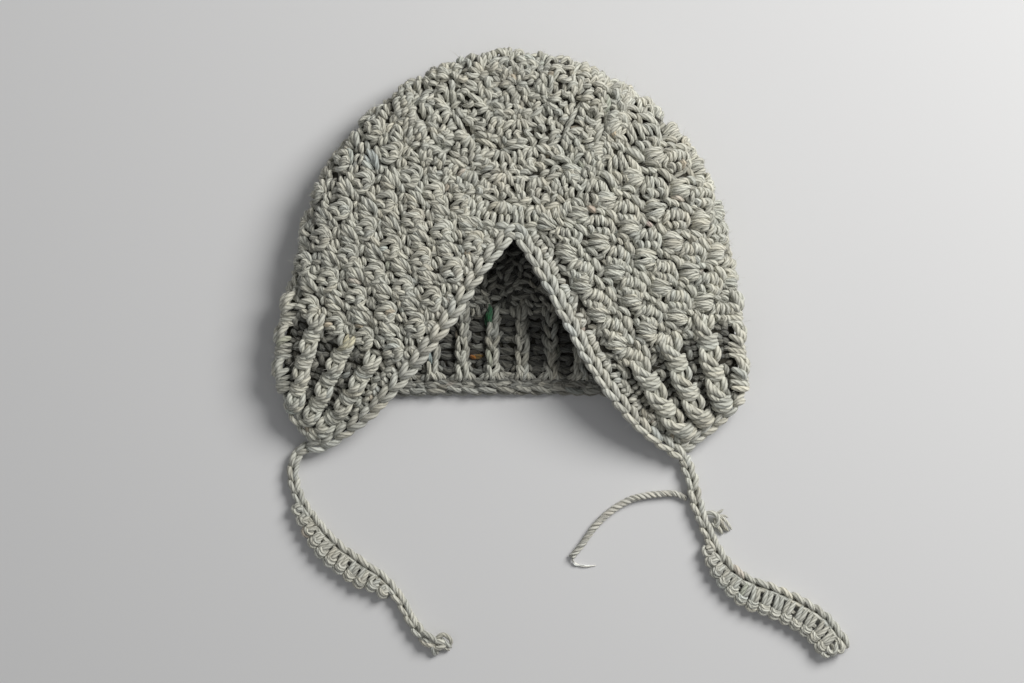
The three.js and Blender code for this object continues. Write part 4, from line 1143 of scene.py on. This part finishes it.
def band(yarn, corner, end, spec, sign):
    """Second row of stitches beside a tie: posts away from the chain and loops along the far edge."""
    a, b = corner + (end - corner) * spec["from"], corner + (end - corner) * spec["to"]
    P = chain_part(a, b)
    T = np.gradient(P, axis=0)
    T /= np.linalg.norm(T, axis=1, keepdims=True)
    away = np.stack([-T[:, 1], T[:, 0], np.zeros(len(P))], 1) * (sign if end > corner else sign)
    P = P + away * (TIE_R + spec["half"] + GAP)
    P[:, 2] = 2.3
    U = way_up(P)
    d = arc(P)[-1]
    w = spec["half"]
    # b is measured to the left of the way along
    out = 1.0 if (np.cross(U[0], T[0]) @ away[0]) > 0 else -1.0
    big = w / 3.3
    s = 1.0
    while s < d - 2.5:
        # share of the full width here
        f = float(np.clip(0.16 + 0.84 * min(s / spec.get("grow", 18.0), (d - s) / spec.get("shrink", 6.0)), 0.16, 1.0))
        far = -w + 2 * w * f
        j = rng.normal(0, 0.28, 8)
        mid = 0.5 * (far - w)
        # two thick strands side by side, their tops over the edge of the chain, a dark gap before the next pair
        for k, lean, hh in ((0.35, 0.75, 2.4), (2.75, -0.75, 2.8)):
            pts = [(s + k + j[0], -(w + 2.4) * out), (s + k + lean * 0.3 + j[1], (mid - 0.4) * out), (s + k + lean, (far - 1.8) * out)]
            Q, UU, h = along_line(P, U, pts, (1.3, hh, 1.0))
            yarn.strand(Q + UU * h[:, None], UU, 1.16, taper=0.6, step=0.9, tint=strand_tint() * 0.9)
        # stacked crescents round the foot of the stitch
        for inset, hh, r in ((2.7, 3.0, 1.0), (1.35, 2.9, 1.12), (-0.1, 1.9, 1.28)):
            if inset > 2 * w * f - 0.6:
                continue
            bow = 1.5 if inset < 2 else 1.0
            pts = [(s - 0.5 + inset * 0.2 + j[6], (far - inset - bow) * out), (s + 0.4, (far - inset - 0.1) * out),
                   (s + 1.95 + j[2], (far - inset + 0.55) * out), (s + 3.5, (far - inset - 0.1) * out),
                   (s + 4.4 - inset * 0.2 + j[3], (far - inset - bow) * out)]
            Q, UU, h = along_line(P, U, pts, (-0.4, hh * 0.85, hh, hh * 0.85, -0.4))
            yarn.strand(Q + UU * h[:, None], UU, r, taper=0.55, step=0.8)
        # floor side
        for bb in (0.28, 0.72):
            at = -w + 2 * w * f * bb
            Q, UU, h = along_line(P, -U, [(s, -at * out), (s + 2.5, -(at + 0.2) * out), (s + 5.2, -at * out)], (0.7, 0.9, 0.7))
            yarn.strand(Q + UU * h[:, None], UU, 1.15, taper=0.6)
        s += 5.6
    if spec.get("loop"):
        # uneven loops where the last stitch turns round: a pointed one off the chain, smaller ones below
        for pts, hs, r in (
                ([(d - 3.0, -(w + 2.2)), (d + 1.4, -(w + 1.6)), (d + 3.4, -(w - 0.4)), (d + 0.9, -(w - 1.9)), (d - 2.2, -(w - 1.6))], (1.2, 2.6, 2.2, 2.0, 0.6), 1.15),
                ([(d - 1.8, -(w + 0.4)), (d + 0.6, -w * 0.55), (d + 1.5, w * 0.1), (d - 0.4, w * 0.45)], (1.6, 2.6, 2.0, 0.6), 1.15),
                ([(d - 3.2, -0.4), (d - 1.4, 0.9), (d + 0.2, 0.4), (d + 0.6, -0.8)], (2.2, 3.0, 2.6, 1.0), 1.1),
                ([(d - 3.6, w * 0.3), (d - 2.0, w * 0.95), (d + 0.2, w * 0.85), (d + 1.0, w * 0.2)], (0.8, 1.9, 1.8, 0.6), 1.2)):
            Q, UU, h = along_line(P, U, [(x, y * out) for x, y in pts], hs)
            yarn.strand(Q + UU * h[:, None], UU, r, taper=0.5, step=0.8)


left_band, right_band = Yarn(), Yarn()
band(left_band, left_corner, 0.0, {**LEFT_BAND, "from": LEFT_BAND["from"] - 0.03, "grow": 25.0, "shrink": 14.0}, -1)
band(right_band, right_corner, chain_d[-1], {**RIGHT_BAND, "from": RIGHT_BAND["from"] - 0.08, "grow": 32.0, "shrink": 4.0, "loop": True}, -1)

# small knot at the end of the left tie
for pts, zs, r in (
    ([(418.5, 632.0), (426, 634.0), (433, 638.5), (437.5, 644)], (2.8, 5.2, 5.0, 2.6), 1.35),
    ([(419.5, 636.5), (426.5, 640.5), (432.5, 646)], (2.4, 4.4, 2.4), 1.25),
    ([(429.5, 641), (432.5, 648.0), (434.5, 655.5)], (3.8, 3.0, 1.4), 1.2),
    ([(434, 645), (436.5, 650.0), (437.5, 654.5)], (3.0, 2.4, 1.2), 0.9),
    ([(435.5, 640.5), (442.5, 646.0), (449.5, 650)], (3.6, 2.8, 1.3), 1.05),
    ([(437.0, 646), (438.0, 637.5), (443.5, 634.5), (451.0, 640.5), (450.0, 646.5)], (1.6, 3.4, 3.4, 2.8, 1.4), 1.05),
    ([(441.5, 638), (446, 643.5), (451.5, 647.5)], (2.2, 3.8, 1.4), 0.95),
):
    line = []
    for (x, y), z in zip(pts, zs):
        X, Y = from_pixel(x, y, z)
        line.append((X, Y, z))
    left_band.strand(np.array(line), np.tile([0, 0, 1.0], (len(line), 1)), r, sides=8, step=0.8, taper=0.5)

# loose yarn end: three plies twisted round each other, with a frayed tip
tail = Yarn()
T_PATH = smooth_curve([(x, y, TAIL_R + 0.05) for x, y in TAIL], 200)
td = arc(T_PATH)
tail_pts = at_length(T_PATH, td, np.linspace(0, td[-1], 120))
tail_T = np.gradient(tail_pts, axis=0)
tail_T /= np.linalg.norm(tail_T, axis=1, keepdims=True)
tail_U = np.tile([0, 0, 1.0], (120, 1))
tail_B = np.cross(tail_U, tail_T)
s = np.linspace(0, td[-1], 120)
for k in range(3):
    a = 2 * math.pi * (s / 7.4 + k / 3)
    spread = 0.80 * (1 + 0.2 * np.clip((s - td[-1] + 6) / 6, 0, 1))
    Q = tail_pts + (np.cos(a) * spread)[:, None] * tail_B + (np.sin(a) * spread)[:, None] * tail_U
    tail.strand(Q, tail_U, 0.92, sides=10, step=0.75, taper=0.62)
tip = T_PATH[-1]
frayed = Yarn()
for k in range(7):
    reach = 1.0 if k < 3 else rng.uniform(0.2, 0.5)
    far = from_pixel(595 + rng.normal(0, 1.2), 567 + rng.normal(0, 1.0), 1)
    mid = from_pixel(574 + rng.normal(0, 0.8), 563 + rng.normal(0, 0.8), 1)
    near = from_pixel(583 + rng.normal(0, 0.8), 565.5 + rng.normal(0, 0.8), 1)
    line = [T_PATH[-8] + rng.normal(0, 0.3, 3), tip + np.array([0.4, -0.6, 0]) + rng.normal(0, 0.3, 3) * np.array([1, 1, 0.3]),
            np.array([*mid, 1.0]), np.array([*near, 0.7]), np.array([*far, 0.4])]
    line = smooth_curve(line, 24)
    n = max(4, int(len(line) * (0.35 + 0.65 * reach)))
    line = line[:n]
    frayed.strand(line, np.tile([0, 0, 1.0], (n, 1)), rng.uniform(0.28, 0.42), sides=5, step=1.0, taper=0.35,
                  tint=strand_tint() * 1.25)

tuft = Yarn()


def px_line(pts, zs):
    out = []
    for (x, y), z in zip(pts, zs):
        X, Y = from_pixel(x, y, z)
        out.append((X, Y, z))
    return np.array(out)


for pts, zs, r in (
    ([(704, 514), (710, 512.5), (716, 514.5), (718.5, 520), (716, 526), (711.5, 523)], (2.2, 3.2, 3.4, 2.8, 2.0, 1.6), 1.2),
    ([(715, 515), (720.5, 520), (724, 526), (728.5, 531)], (2.8, 2.8, 2.0, 1.1), 0.85),
    ([(717, 514), (723, 518), (728, 524), (731.5, 529.5)], (3.0, 2.6, 1.9, 1.1), 0.75),
    ([(714, 518), (717, 525), (720.5, 530), (722.5, 534)], (2.2, 1.8, 1.5, 1.0), 0.85),
    ([(713, 515), (719, 512.5), (723, 509.5)], (2.8, 3.2, 3.0), 0.7),
    ([(716, 519), (721, 524), (725, 531)], (2.2, 1.6, 1.0), 0.6),
    ([(717, 516), (724, 515.5), (728, 517.5)], (2.6, 2.6, 2.2), 0.5),
):
    P = px_line(pts, zs)
    tuft.strand(P, np.tile([0, 0, 1.0], (len(P), 1)), r, sides=8, step=0.7, taper=0.45)


# ================================================================ base fabric under the stitches, near-black as painted shade in the gaps
def base_fabric(name, t0, t1, material):
    """Closed inner wall that the stitches stand on, near-black as painted shade in the gaps between them: thin under
    the upper layer, down to the floor below.
    """
    rows = np.append(np.arange(t0, t1, 3.0), t1)
    cols = np.arange(0, COLUMNS + 1, 2) / COLUMNS
    V, F = [], []

    def layer(which):
        idx = np.zeros((len(rows), 2 * len(cols)), int)
        for i, t in enumerate(rows):
            for side in (-1, 1):
                c = cols * side
                P, N = fabric(np.full(len(cols), max(t, 0.01)), np.where(cols == 0, 1e-6, cols) * side, side)
                under = np.clip((-N[:, 2] - 0.9) / 0.09, 0, 1)
                if which == "out":
                    h = -0.3 + 3.0 * under
                else:
                    h = -1.9 + 1.3 * under
                Q = P + N * h[:, None]
                Q[:, 2] = np.maximum(Q[:, 2], 0.04 if which == "out" else 1.2)
                cols_at = (len(cols) - 1 - np.arange(len(cols))) if side < 0 else (len(cols) + np.arange(len(cols)))
                # back centre left ... front left, front right ... back centre right
                for j, q in zip(cols_at, Q):
                    V.append(q)
                    idx[i, j] = len(V) - 1
        return idx
    out, inn = layer("out"), layer("in")
    n = out.shape[1]
    mid = len(cols) - 1
    for i in range(len(rows) - 1):
        for j in range(n - 1):
            if j == mid and rows[i + 1] > SPLIT:
                F.append((out[i, j], inn[i, j], inn[i + 1, j], out[i + 1, j]))
                F.append((out[i, j + 1], out[i + 1, j + 1], inn[i + 1, j + 1], inn[i, j + 1]))
                continue
            if j == mid:
                continue_width = True
            F.append((out[i, j], out[i + 1, j], out[i + 1, j + 1], out[i, j + 1]))
            F.append((inn[i, j], inn[i, j + 1], inn[i + 1, j + 1], inn[i + 1, j]))
    for j in range(n - 1):
        if j == mid:
            continue
        F.append((out[-1, j], inn[-1, j], inn[-1, j + 1], out[-1, j + 1]))
        if t0 > 1:
            F.append((out[0, j], out[0, j + 1], inn[0, j + 1], inn[0, j]))
    V = (np.array(V) + SHIFT) * MM
    mesh = bpy.data.meshes.new(name)
    mesh.from_pydata(V.tolist(), [], [tuple(int(v) for v in f) for f in F])
    import bmesh
    bm = bmesh.new()
    bm.from_mesh(mesh)
    bmesh.ops.remove_doubles(bm, verts=bm.verts, dist=2e-5)
    bmesh.ops.recalc_face_normals(bm, faces=bm.faces)
    bm.to_mesh(mesh)
    bm.free()
    mesh.polygons.foreach_set("use_smooth", np.ones(len(mesh.polygons), dtype=bool))
    mesh.materials.append(material)
    ob = bpy.data.objects.new(name, mesh)
    bpy.context.scene.collection.objects.link(ob)
    return ob


# ================================================================ fine fibres
class Fuzz:
    """Fine loose fibres that stand off the strands, each a thin curved three-sided hair."""

    def __init__(self, name, sources, count, reach=(1.6, 4.2), r=0.05):
        C = np.vstack([q for y in sources for q in y.mid])
        U = np.vstack([q for y in sources for q in y.way])
        R = np.concatenate([q for y in sources for q in y.rad])
        D = np.vstack([q for y in sources for q in y.run])
        pick = rng.integers(0, len(C), count)
        C, U, R, D = C[pick], U[pick], R[pick], D[pick]
        out = U + rng.normal(0, 0.55, U.shape)
        out -= (out * D).sum(1, keepdims=True) * D
        out /= np.linalg.norm(out, axis=1, keepdims=True)
        go = D * rng.choice([-1, 1], count)[:, None] + out * rng.uniform(0.05, 0.9, count)[:, None] + rng.normal(0, 0.35, D.shape)
        go /= np.linalg.norm(go, axis=1, keepdims=True)
        bend = rng.normal(0, 0.5, D.shape)
        long = rng.uniform(*reach, count)
        k = np.linspace(0, 1, 4)
        P = (C + out * (R * 0.9)[:, None])[:, None] + (long[:, None] * k[None])[..., None] * go[:, None] \
            + (long[:, None] * k[None] ** 2)[..., None] * bend[:, None] * 0.6
        P[..., 2] = np.maximum(P[..., 2], 0.12)
        side = np.cross(go, out)
        side /= np.maximum(1e-6, np.linalg.norm(side, axis=1, keepdims=True))
        up = np.cross(side, go)
        rr = r * np.array([1, 1, 0.8, 0.35])
        ring = [P + rr[None, :, None] * (math.cos(a) * side + math.sin(a) * up)[:, None] for a in (0, 2.094, 4.189)]
        self.V = np.stack(ring, 2).reshape(-1, 3)
        i = np.arange(count)[:, None, None] * 12 + np.arange(3)[None, :, None] * 3
        a, b = i + np.arange(3), i + (np.arange(3) + 1) % 3
        self.F = np.stack([a, b, b + 3, a + 3], -1).reshape(-1, 4)
        e = np.arange(count)[:, None] * 12
        self.E = np.vstack([e + np.array([2, 1, 0]), e + np.array([9, 10, 11])])
        self.name = name

    def build(self, material):
        mesh = bpy.data.meshes.new(self.name)
        mesh.from_pydata(((self.V + SHIFT) * MM).tolist(), [], self.F.tolist() + self.E.tolist())
        mesh.materials.append(material)
        mesh.update()
        ob = bpy.data.objects.new(self.name, mesh)
        bpy.context.scene.collection.objects.link(ob)
        return ob


# ================================================================ materials
def yarn_material(name, light, dark, plies=5.0, turn=3.5, bump=0.75):
    """Plied yarn: twisted plies and fine fibres from the strand's own UVs; the dark colour in the ply grooves is
    painted shade, the fibre noise is the yarn's own texture.
    """
    mat = bpy.data.materials.new(name)
    mat.use_nodes = True
    nt = mat.node_tree
    nt.nodes.clear()
    new, link = nt.nodes.new, nt.links.new
    out = new("ShaderNodeOutputMaterial")
    bsdf = new("ShaderNodeBsdfPrincipled")
    bsdf.inputs["Roughness"].default_value = 0.92
    bsdf.inputs["Specular IOR Level"].default_value = 0.2
    bsdf.inputs["Sheen Weight"].default_value = 0.25
    bsdf.inputs["Sheen Roughness"].default_value = 0.6
    link(bsdf.outputs[0], out.inputs[0])
    uv = new("ShaderNodeUVMap")
    uv.uv_map = "strand"
    sep = new("ShaderNodeSeparateXYZ")
    link(uv.outputs[0], sep.inputs[0])
    coord = new("ShaderNodeTexCoord")

    def math_node(op, a, b=None, c=None):
        n = new("ShaderNodeMath")
        n.operation = op
        for k, v in enumerate((a, b, c)):
            if v is None:
                continue
            if hasattr(v, "is_output"):
                link(v, n.inputs[k])
            else:
                n.inputs[k].default_value = v
        return n.outputs[0]
    wobble = new("ShaderNodeTexNoise")
    wobble.inputs["Scale"].default_value = 420.0
    wobble.inputs["Detail"].default_value = 2.0
    link(coord.outputs["Object"], wobble.inputs["Vector"])
    phase = math_node("ADD", math_node("MULTIPLY", sep.outputs[1], plies), math_node("DIVIDE", sep.outputs[0], turn))
    phase = math_node("ADD", phase, math_node("MULTIPLY", wobble.outputs[0], 0.55))
    saw = math_node("SINE", math_node("MULTIPLY", phase, 2 * math.pi))
    ply = math_node("POWER", math_node("ADD", math_node("MULTIPLY", saw, 0.5), 0.5), 0.4)
    # fibres: stretched noise along the ply
    comb = new("ShaderNodeCombineXYZ")
    link(math_node("MULTIPLY", sep.outputs[0], 0.35), comb.inputs[0])
    link(math_node("MULTIPLY", phase, 3.4), comb.inputs[1])
    fib = new("ShaderNodeTexNoise")
    fib.inputs["Scale"].default_value = 2.2
    fib.inputs["Detail"].default_value = 3.0
    fib.inputs["Roughness"].default_value = 0.65
    link(comb.outputs[0], fib.inputs["Vector"])
    broad = new("ShaderNodeTexNoise")
    broad.inputs["Scale"].default_value = 45.0
    broad.inputs["Detail"].default_value = 3.0
    link(coord.outputs["Object"], broad.inputs["Vector"])
    height = math_node("ADD", math_node("MULTIPLY", ply, 0.75), math_node("MULTIPLY", fib.outputs[0], 0.5))
    ramp = new("ShaderNodeMapRange")
    ramp.inputs["From Min"].default_value = 0.25
    ramp.inputs["From Max"].default_value = 0.95
    link(height, ramp.inputs["Value"])
    # ply grooves take the dark colour as painted shade, the crests the light one; the fibre noise mixed in is real
    # texture
    mix = new("ShaderNodeMix")
    mix.data_type = "RGBA"
    mix.inputs[6].default_value = (*dark, 1)
    mix.inputs[7].default_value = (*light, 1)
    link(ramp.outputs[0], mix.inputs[0])
    tint = new("ShaderNodeVertexColor")
    tint.layer_name = "tint"
    mul = new("ShaderNodeMix")
    mul.data_type = "RGBA"
    mul.blend_type = "MULTIPLY"
    mul.inputs[0].default_value = 1.0
    link(mix.outputs[2], mul.inputs[6])
    link(tint.outputs[0], mul.inputs[7])
    warm = new("ShaderNodeMix")
    warm.data_type = "RGBA"
    warm.inputs[6].default_value = (0.94, 0.98, 0.98, 1)
    warm.inputs[7].default_value = (1.05, 1.02, 0.98, 1)
    link(broad.outputs[0], warm.inputs[0])
    mul2 = new("ShaderNodeMix")
    mul2.data_type = "RGBA"
    mul2.blend_type = "MULTIPLY"
    mul2.inputs[0].default_value = 1.0
    link(mul.outputs[2], mul2.inputs[6])
    link(warm.outputs[2], mul2.inputs[7])
    link(mul2.outputs[2], bsdf.inputs["Base Color"])
    b = new("ShaderNodeBump")
    b.inputs["Strength"].default_value = bump
    b.inputs["Distance"].default_value = 0.0005
    link(height, b.inputs["Height"])
    link(b.outputs[0], bsdf.inputs["Normal"])
    return mat


def fibre_material(name, color):
    mat = bpy.data.materials.new(name)
    mat.use_nodes = True
    nt = mat.node_tree
    bsdf = nt.nodes["Principled BSDF"]
    bsdf.inputs["Roughness"].default_value = 0.9
    bsdf.inputs["Specular IOR Level"].default_value = 0.15
    coord = nt.nodes.new("ShaderNodeTexCoord")
    noise = nt.nodes.new("ShaderNodeTexNoise")
    noise.inputs["Scale"].default_value = 160.0
    nt.links.new(coord.outputs["Object"], noise.inputs["Vector"])
    mix = nt.nodes.new("ShaderNodeMix")
    mix.data_type = "RGBA"
    mix.inputs[6].default_value = (color[0] * 0.75, color[1] * 0.75, color[2] * 0.75, 1)
    mix.inputs[7].default_value = (*color, 1)
    nt.links.new(noise.outputs[0], mix.inputs[0])
    nt.links.new(mix.outputs[2], bsdf.inputs["Base Color"])
    return mat


# dark noisy sheet colour, used for the painted shade under the stitches
def base_material(name, color):
    mat = bpy.data.materials.new(name)
    mat.use_nodes = True
    nt = mat.node_tree
    bsdf = nt.nodes["Principled BSDF"]
    bsdf.inputs["Roughness"].default_value = 0.95
    bsdf.inputs["Specular IOR Level"].default_value = 0.1
    coord = nt.nodes.new("ShaderNodeTexCoord")
    noise = nt.nodes.new("ShaderNodeTexNoise")
    noise.inputs["Scale"].default_value = 500.0
    noise.inputs["Detail"].default_value = 4.0
    nt.links.new(coord.outputs["Object"], noise.inputs["Vector"])
    mix = nt.nodes.new("ShaderNodeMix")
    mix.data_type = "RGBA"
    mix.inputs[6].default_value = (color[0] * 0.6, color[1] * 0.6, color[2] * 0.6, 1)
    mix.inputs[7].default_value = (*color, 1)
    nt.links.new(noise.outputs[0], mix.inputs[0])
    nt.links.new(mix.outputs[2], bsdf.inputs["Base Color"])
    b = nt.nodes.new("ShaderNodeBump")
    b.inputs["Strength"].default_value = 0.8
    b.inputs["Distance"].default_value = 0.0008
    nt.links.new(noise.outputs[0], b.inputs["Height"])
    nt.links.new(b.outputs[0], bsdf.inputs["Normal"])
    return mat


OAT = (0.635, 0.627, 0.556)
# dark colour of the ply grooves: painted shade
OAT_GROOVE_SHADE = (0.322, 0.315, 0.262)
yarn_mat = yarn_material("oatmeal_yarn", OAT, OAT_GROOVE_SHADE)
border_mat = yarn_material("border_yarn", (0.64, 0.634, 0.574), (0.335, 0.329, 0.28))
tail_mat = yarn_material("loose_yarn", (0.64, 0.62, 0.56), (0.34, 0.33, 0.28), plies=3.0, turn=6.0)
frayed_mat = yarn_material("frayed_fibre", (0.86, 0.85, 0.81), (0.66, 0.65, 0.60), plies=3.0, turn=6.0)
# near-black base colour: painted shade seen through the gaps between the stitches
painted_shade_base_mat = base_material("painted_depth_shade", (0.055, 0.052, 0.042))

# ================================================================ pieces
pieces = {}
pieces["crown_stitches"] = crown.build("crown_stitches", yarn_mat)
pieces["left_panel_stitches"] = left_panel.build("left_panel_stitches", yarn_mat)
pieces["right_panel_stitches"] = right_panel.build("right_panel_stitches", yarn_mat)
pieces["main_fabric"] = base_fabric("main_fabric", 0.01, RIB_START, painted_shade_base_mat)
pieces["neck_rib_stitches"] = ribs.build("neck_rib_stitches", yarn_mat)
pieces["inner_back_stitches"] = inner.build("inner_back_stitches", yarn_mat)
pieces["neck_rib_fabric"] = base_fabric("neck_rib_fabric", RIB_START, HEM - 0.8, painted_shade_base_mat)
pieces["opening_border"] = edging.build("opening_border", border_mat)
for name, (y, path) in ties.items():
    pieces[name] = y.build(name, border_mat)
pieces["left_tie_stitches"] = left_band.build("left_tie_stitches", border_mat)
pieces["right_tie_stitches"] = right_band.build("right_tie_stitches", border_mat)
pieces["loose_yarn_end"] = tail.build("loose_yarn_end", tail_mat)
pieces["frayed_end"] = frayed.build("frayed_end", frayed_mat)
pieces["cut_tuft"] = tuft.build("cut_tuft", border_mat)
pieces["ground_stitches"] = ground.build("ground_stitches", yarn_mat)
pieces["inner_ground_stitches"] = inner_ground.build("inner_ground_stitches", yarn_mat)

fibre_mat = fibre_material("fine_fibres", (0.66, 0.65, 0.59))
pieces["fabric_fibres"] = Fuzz("fabric_fibres", [crown, left_panel, right_panel], 4700).build(fibre_mat)
pieces["rib_fibres"] = Fuzz("rib_fibres", [ribs, edging], 1900).build(fibre_mat)
pieces["left_tie_fibres"] = Fuzz("left_tie_fibres", [ties["left_tie_chain"][0], left_band], 320, reach=(1.2, 3.0)).build(fibre_mat)
pieces["right_tie_fibres"] = Fuzz("right_tie_fibres", [ties["right_tie_chain"][0], right_band], 420, reach=(1.2, 3.0)).build(fibre_mat)

for ob in pieces.values():
    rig.ride(ob, "root")
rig.replaces(pieces["main_fabric"], "crown_shell")
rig.replaces(pieces["neck_rib_fabric"], "neck_ribbing")
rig.replaces(pieces["opening_border"], "front_edging")
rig.replaces(pieces["left_tie_chain"], "left_tie")
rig.replaces(pieces["right_tie_chain"], "right_tie")
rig.replaces(pieces["left_tie_stitches"], "left_tie_band")
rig.replaces(pieces["right_tie_stitches"], "right_tie_band")
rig.replaces(pieces["loose_yarn_end"], "yarn_tail")
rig.replaces(pieces["cut_tuft"], "yarn_tuft")
SLOTS = {"crown_stitches": "main_fabric", "left_panel_stitches": "main_fabric", "right_panel_stitches": "main_fabric",
         "main_fabric": "main_fabric", "inner_back_stitches": "ribbing", "neck_rib_stitches": "ribbing",
         "neck_rib_fabric": "ribbing", "opening_border": "border_chain", "left_tie_chain": "tie_chain",
         "right_tie_chain": "tie_chain", "left_tie_stitches": "tie_band", "right_tie_stitches": "tie_band",
         "loose_yarn_end": "plied_yarn", "frayed_end": "plied_yarn", "cut_tuft": "plied_yarn",
         "ground_stitches": "main_fabric", "inner_ground_stitches": "main_fabric", "fabric_fibres": "main_fabric",
         "rib_fibres": "ribbing", "left_tie_fibres": "tie_chain", "right_tie_fibres": "tie_chain"}
for name, s in SLOTS.items():
    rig.slot(pieces[name], s)


def metres(points):
    return [[float(v) * MM for v in np.asarray(p) + SHIFT] for p in points]


for name, band_name, tuft_names in (("left_tie_chain", "left_tie_stitches", []), ("right_tie_chain", "right_tie_stitches", ["cut_tuft"])):
    path = metres(ties[name][1])
    length = float(arc(np.array(path))[-1])
    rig.cord(pieces[name], exit=path[0], length=round(length, 4), diameter=0.0058, far_end="bare", stiffness="limp",
            lay="loose", path=path,
            with_pieces=[pieces[band_name], pieces[name.replace("chain", "fibres")]] + [pieces[n] for n in tuft_names])
    print("cord", name, "length", round(length, 4))
tail_path = metres(at_length(T_PATH, td, np.linspace(0, td[-1], 40)))
tail_length = float(arc(np.array(tail_path))[-1])
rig.cord(pieces["loose_yarn_end"], exit=tail_path[0], length=round(tail_length, 4), diameter=0.0034, far_end="bare",
        stiffness="limp", lay="loose", path=tail_path, with_pieces=[pieces["frayed_end"]])
print("cord tail length", round(tail_length, 4))

# ================================================================ floor, light, camera
floor_mat = bpy.data.materials.new("pale_floor")
floor_mat.use_nodes = True
nt = floor_mat.node_tree
bsdf = nt.nodes["Principled BSDF"]
bsdf.inputs["Base Color"].default_value = (0.70, 0.702, 0.706, 1)
bsdf.inputs["Roughness"].default_value = 0.95
bsdf.inputs["Specular IOR Level"].default_value = 0.1
bpy.ops.mesh.primitive_plane_add(size=6, location=(0, 0, 0))
floor = bpy.context.object
floor.name = "floor"
floor.data.materials.append(floor_mat)
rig.stage(floor)


def area_light(name, location, target, size, energy, color):
    data = bpy.data.lights.new(name, "AREA")
    data.shape = "DISK"
    data.size = size
    data.energy = energy
    data.color = color
    ob = bpy.data.objects.new(name, data)
    ob.location = location
    ob.rotation_euler = (Vector(target) - Vector(location)).to_track_quat("-Z", "Y").to_euler()
    bpy.context.scene.collection.objects.link(ob)


area_light("key", (0.80, 0.60, 0.84), (0.06, 0.0, 0), 0.75, 18.0, (1.0, 0.99, 0.97))
area_light("fill", (-1.0, -0.5, 1.3), (0, 0, 0), 1.2, 1.2, (0.98, 0.985, 1.0))
world = bpy.data.worlds.new("studio")
world.use_nodes = True
world.node_tree.nodes["Background"].inputs[0].default_value = (0.96, 0.965, 0.98, 1)
world.node_tree.nodes["Background"].inputs[1].default_value = 0.21
bpy.context.scene.world = world
bpy.context.scene.view_settings.view_transform = "Standard"

cam_data = bpy.data.cameras.new("camera")
cam_data.sensor_width = 36.0
cam_data.lens = 36.0 * (CAM_H - PLANE) / (1024 * PX)
cam = bpy.data.objects.new("camera", cam_data)
cam.location = ((CAM_XY[0] + SHIFT[0]) * MM, (CAM_XY[1] + SHIFT[1]) * MM, CAM_H * MM)
cam.rotation_euler = (0, 0, 0)
bpy.context.scene.collection.objects.link(cam)
bpy.context.scene.camera = cam

lo, hi = CAD_BOX
vlo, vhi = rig.bounds()
with open("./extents.json", "w") as f:
    json.dump({"cad": [[float(v) for v in lo], [float(v) for v in hi]],
               "visual": [[float(v) for v in vlo], [float(v) for v in vhi]]}, f)
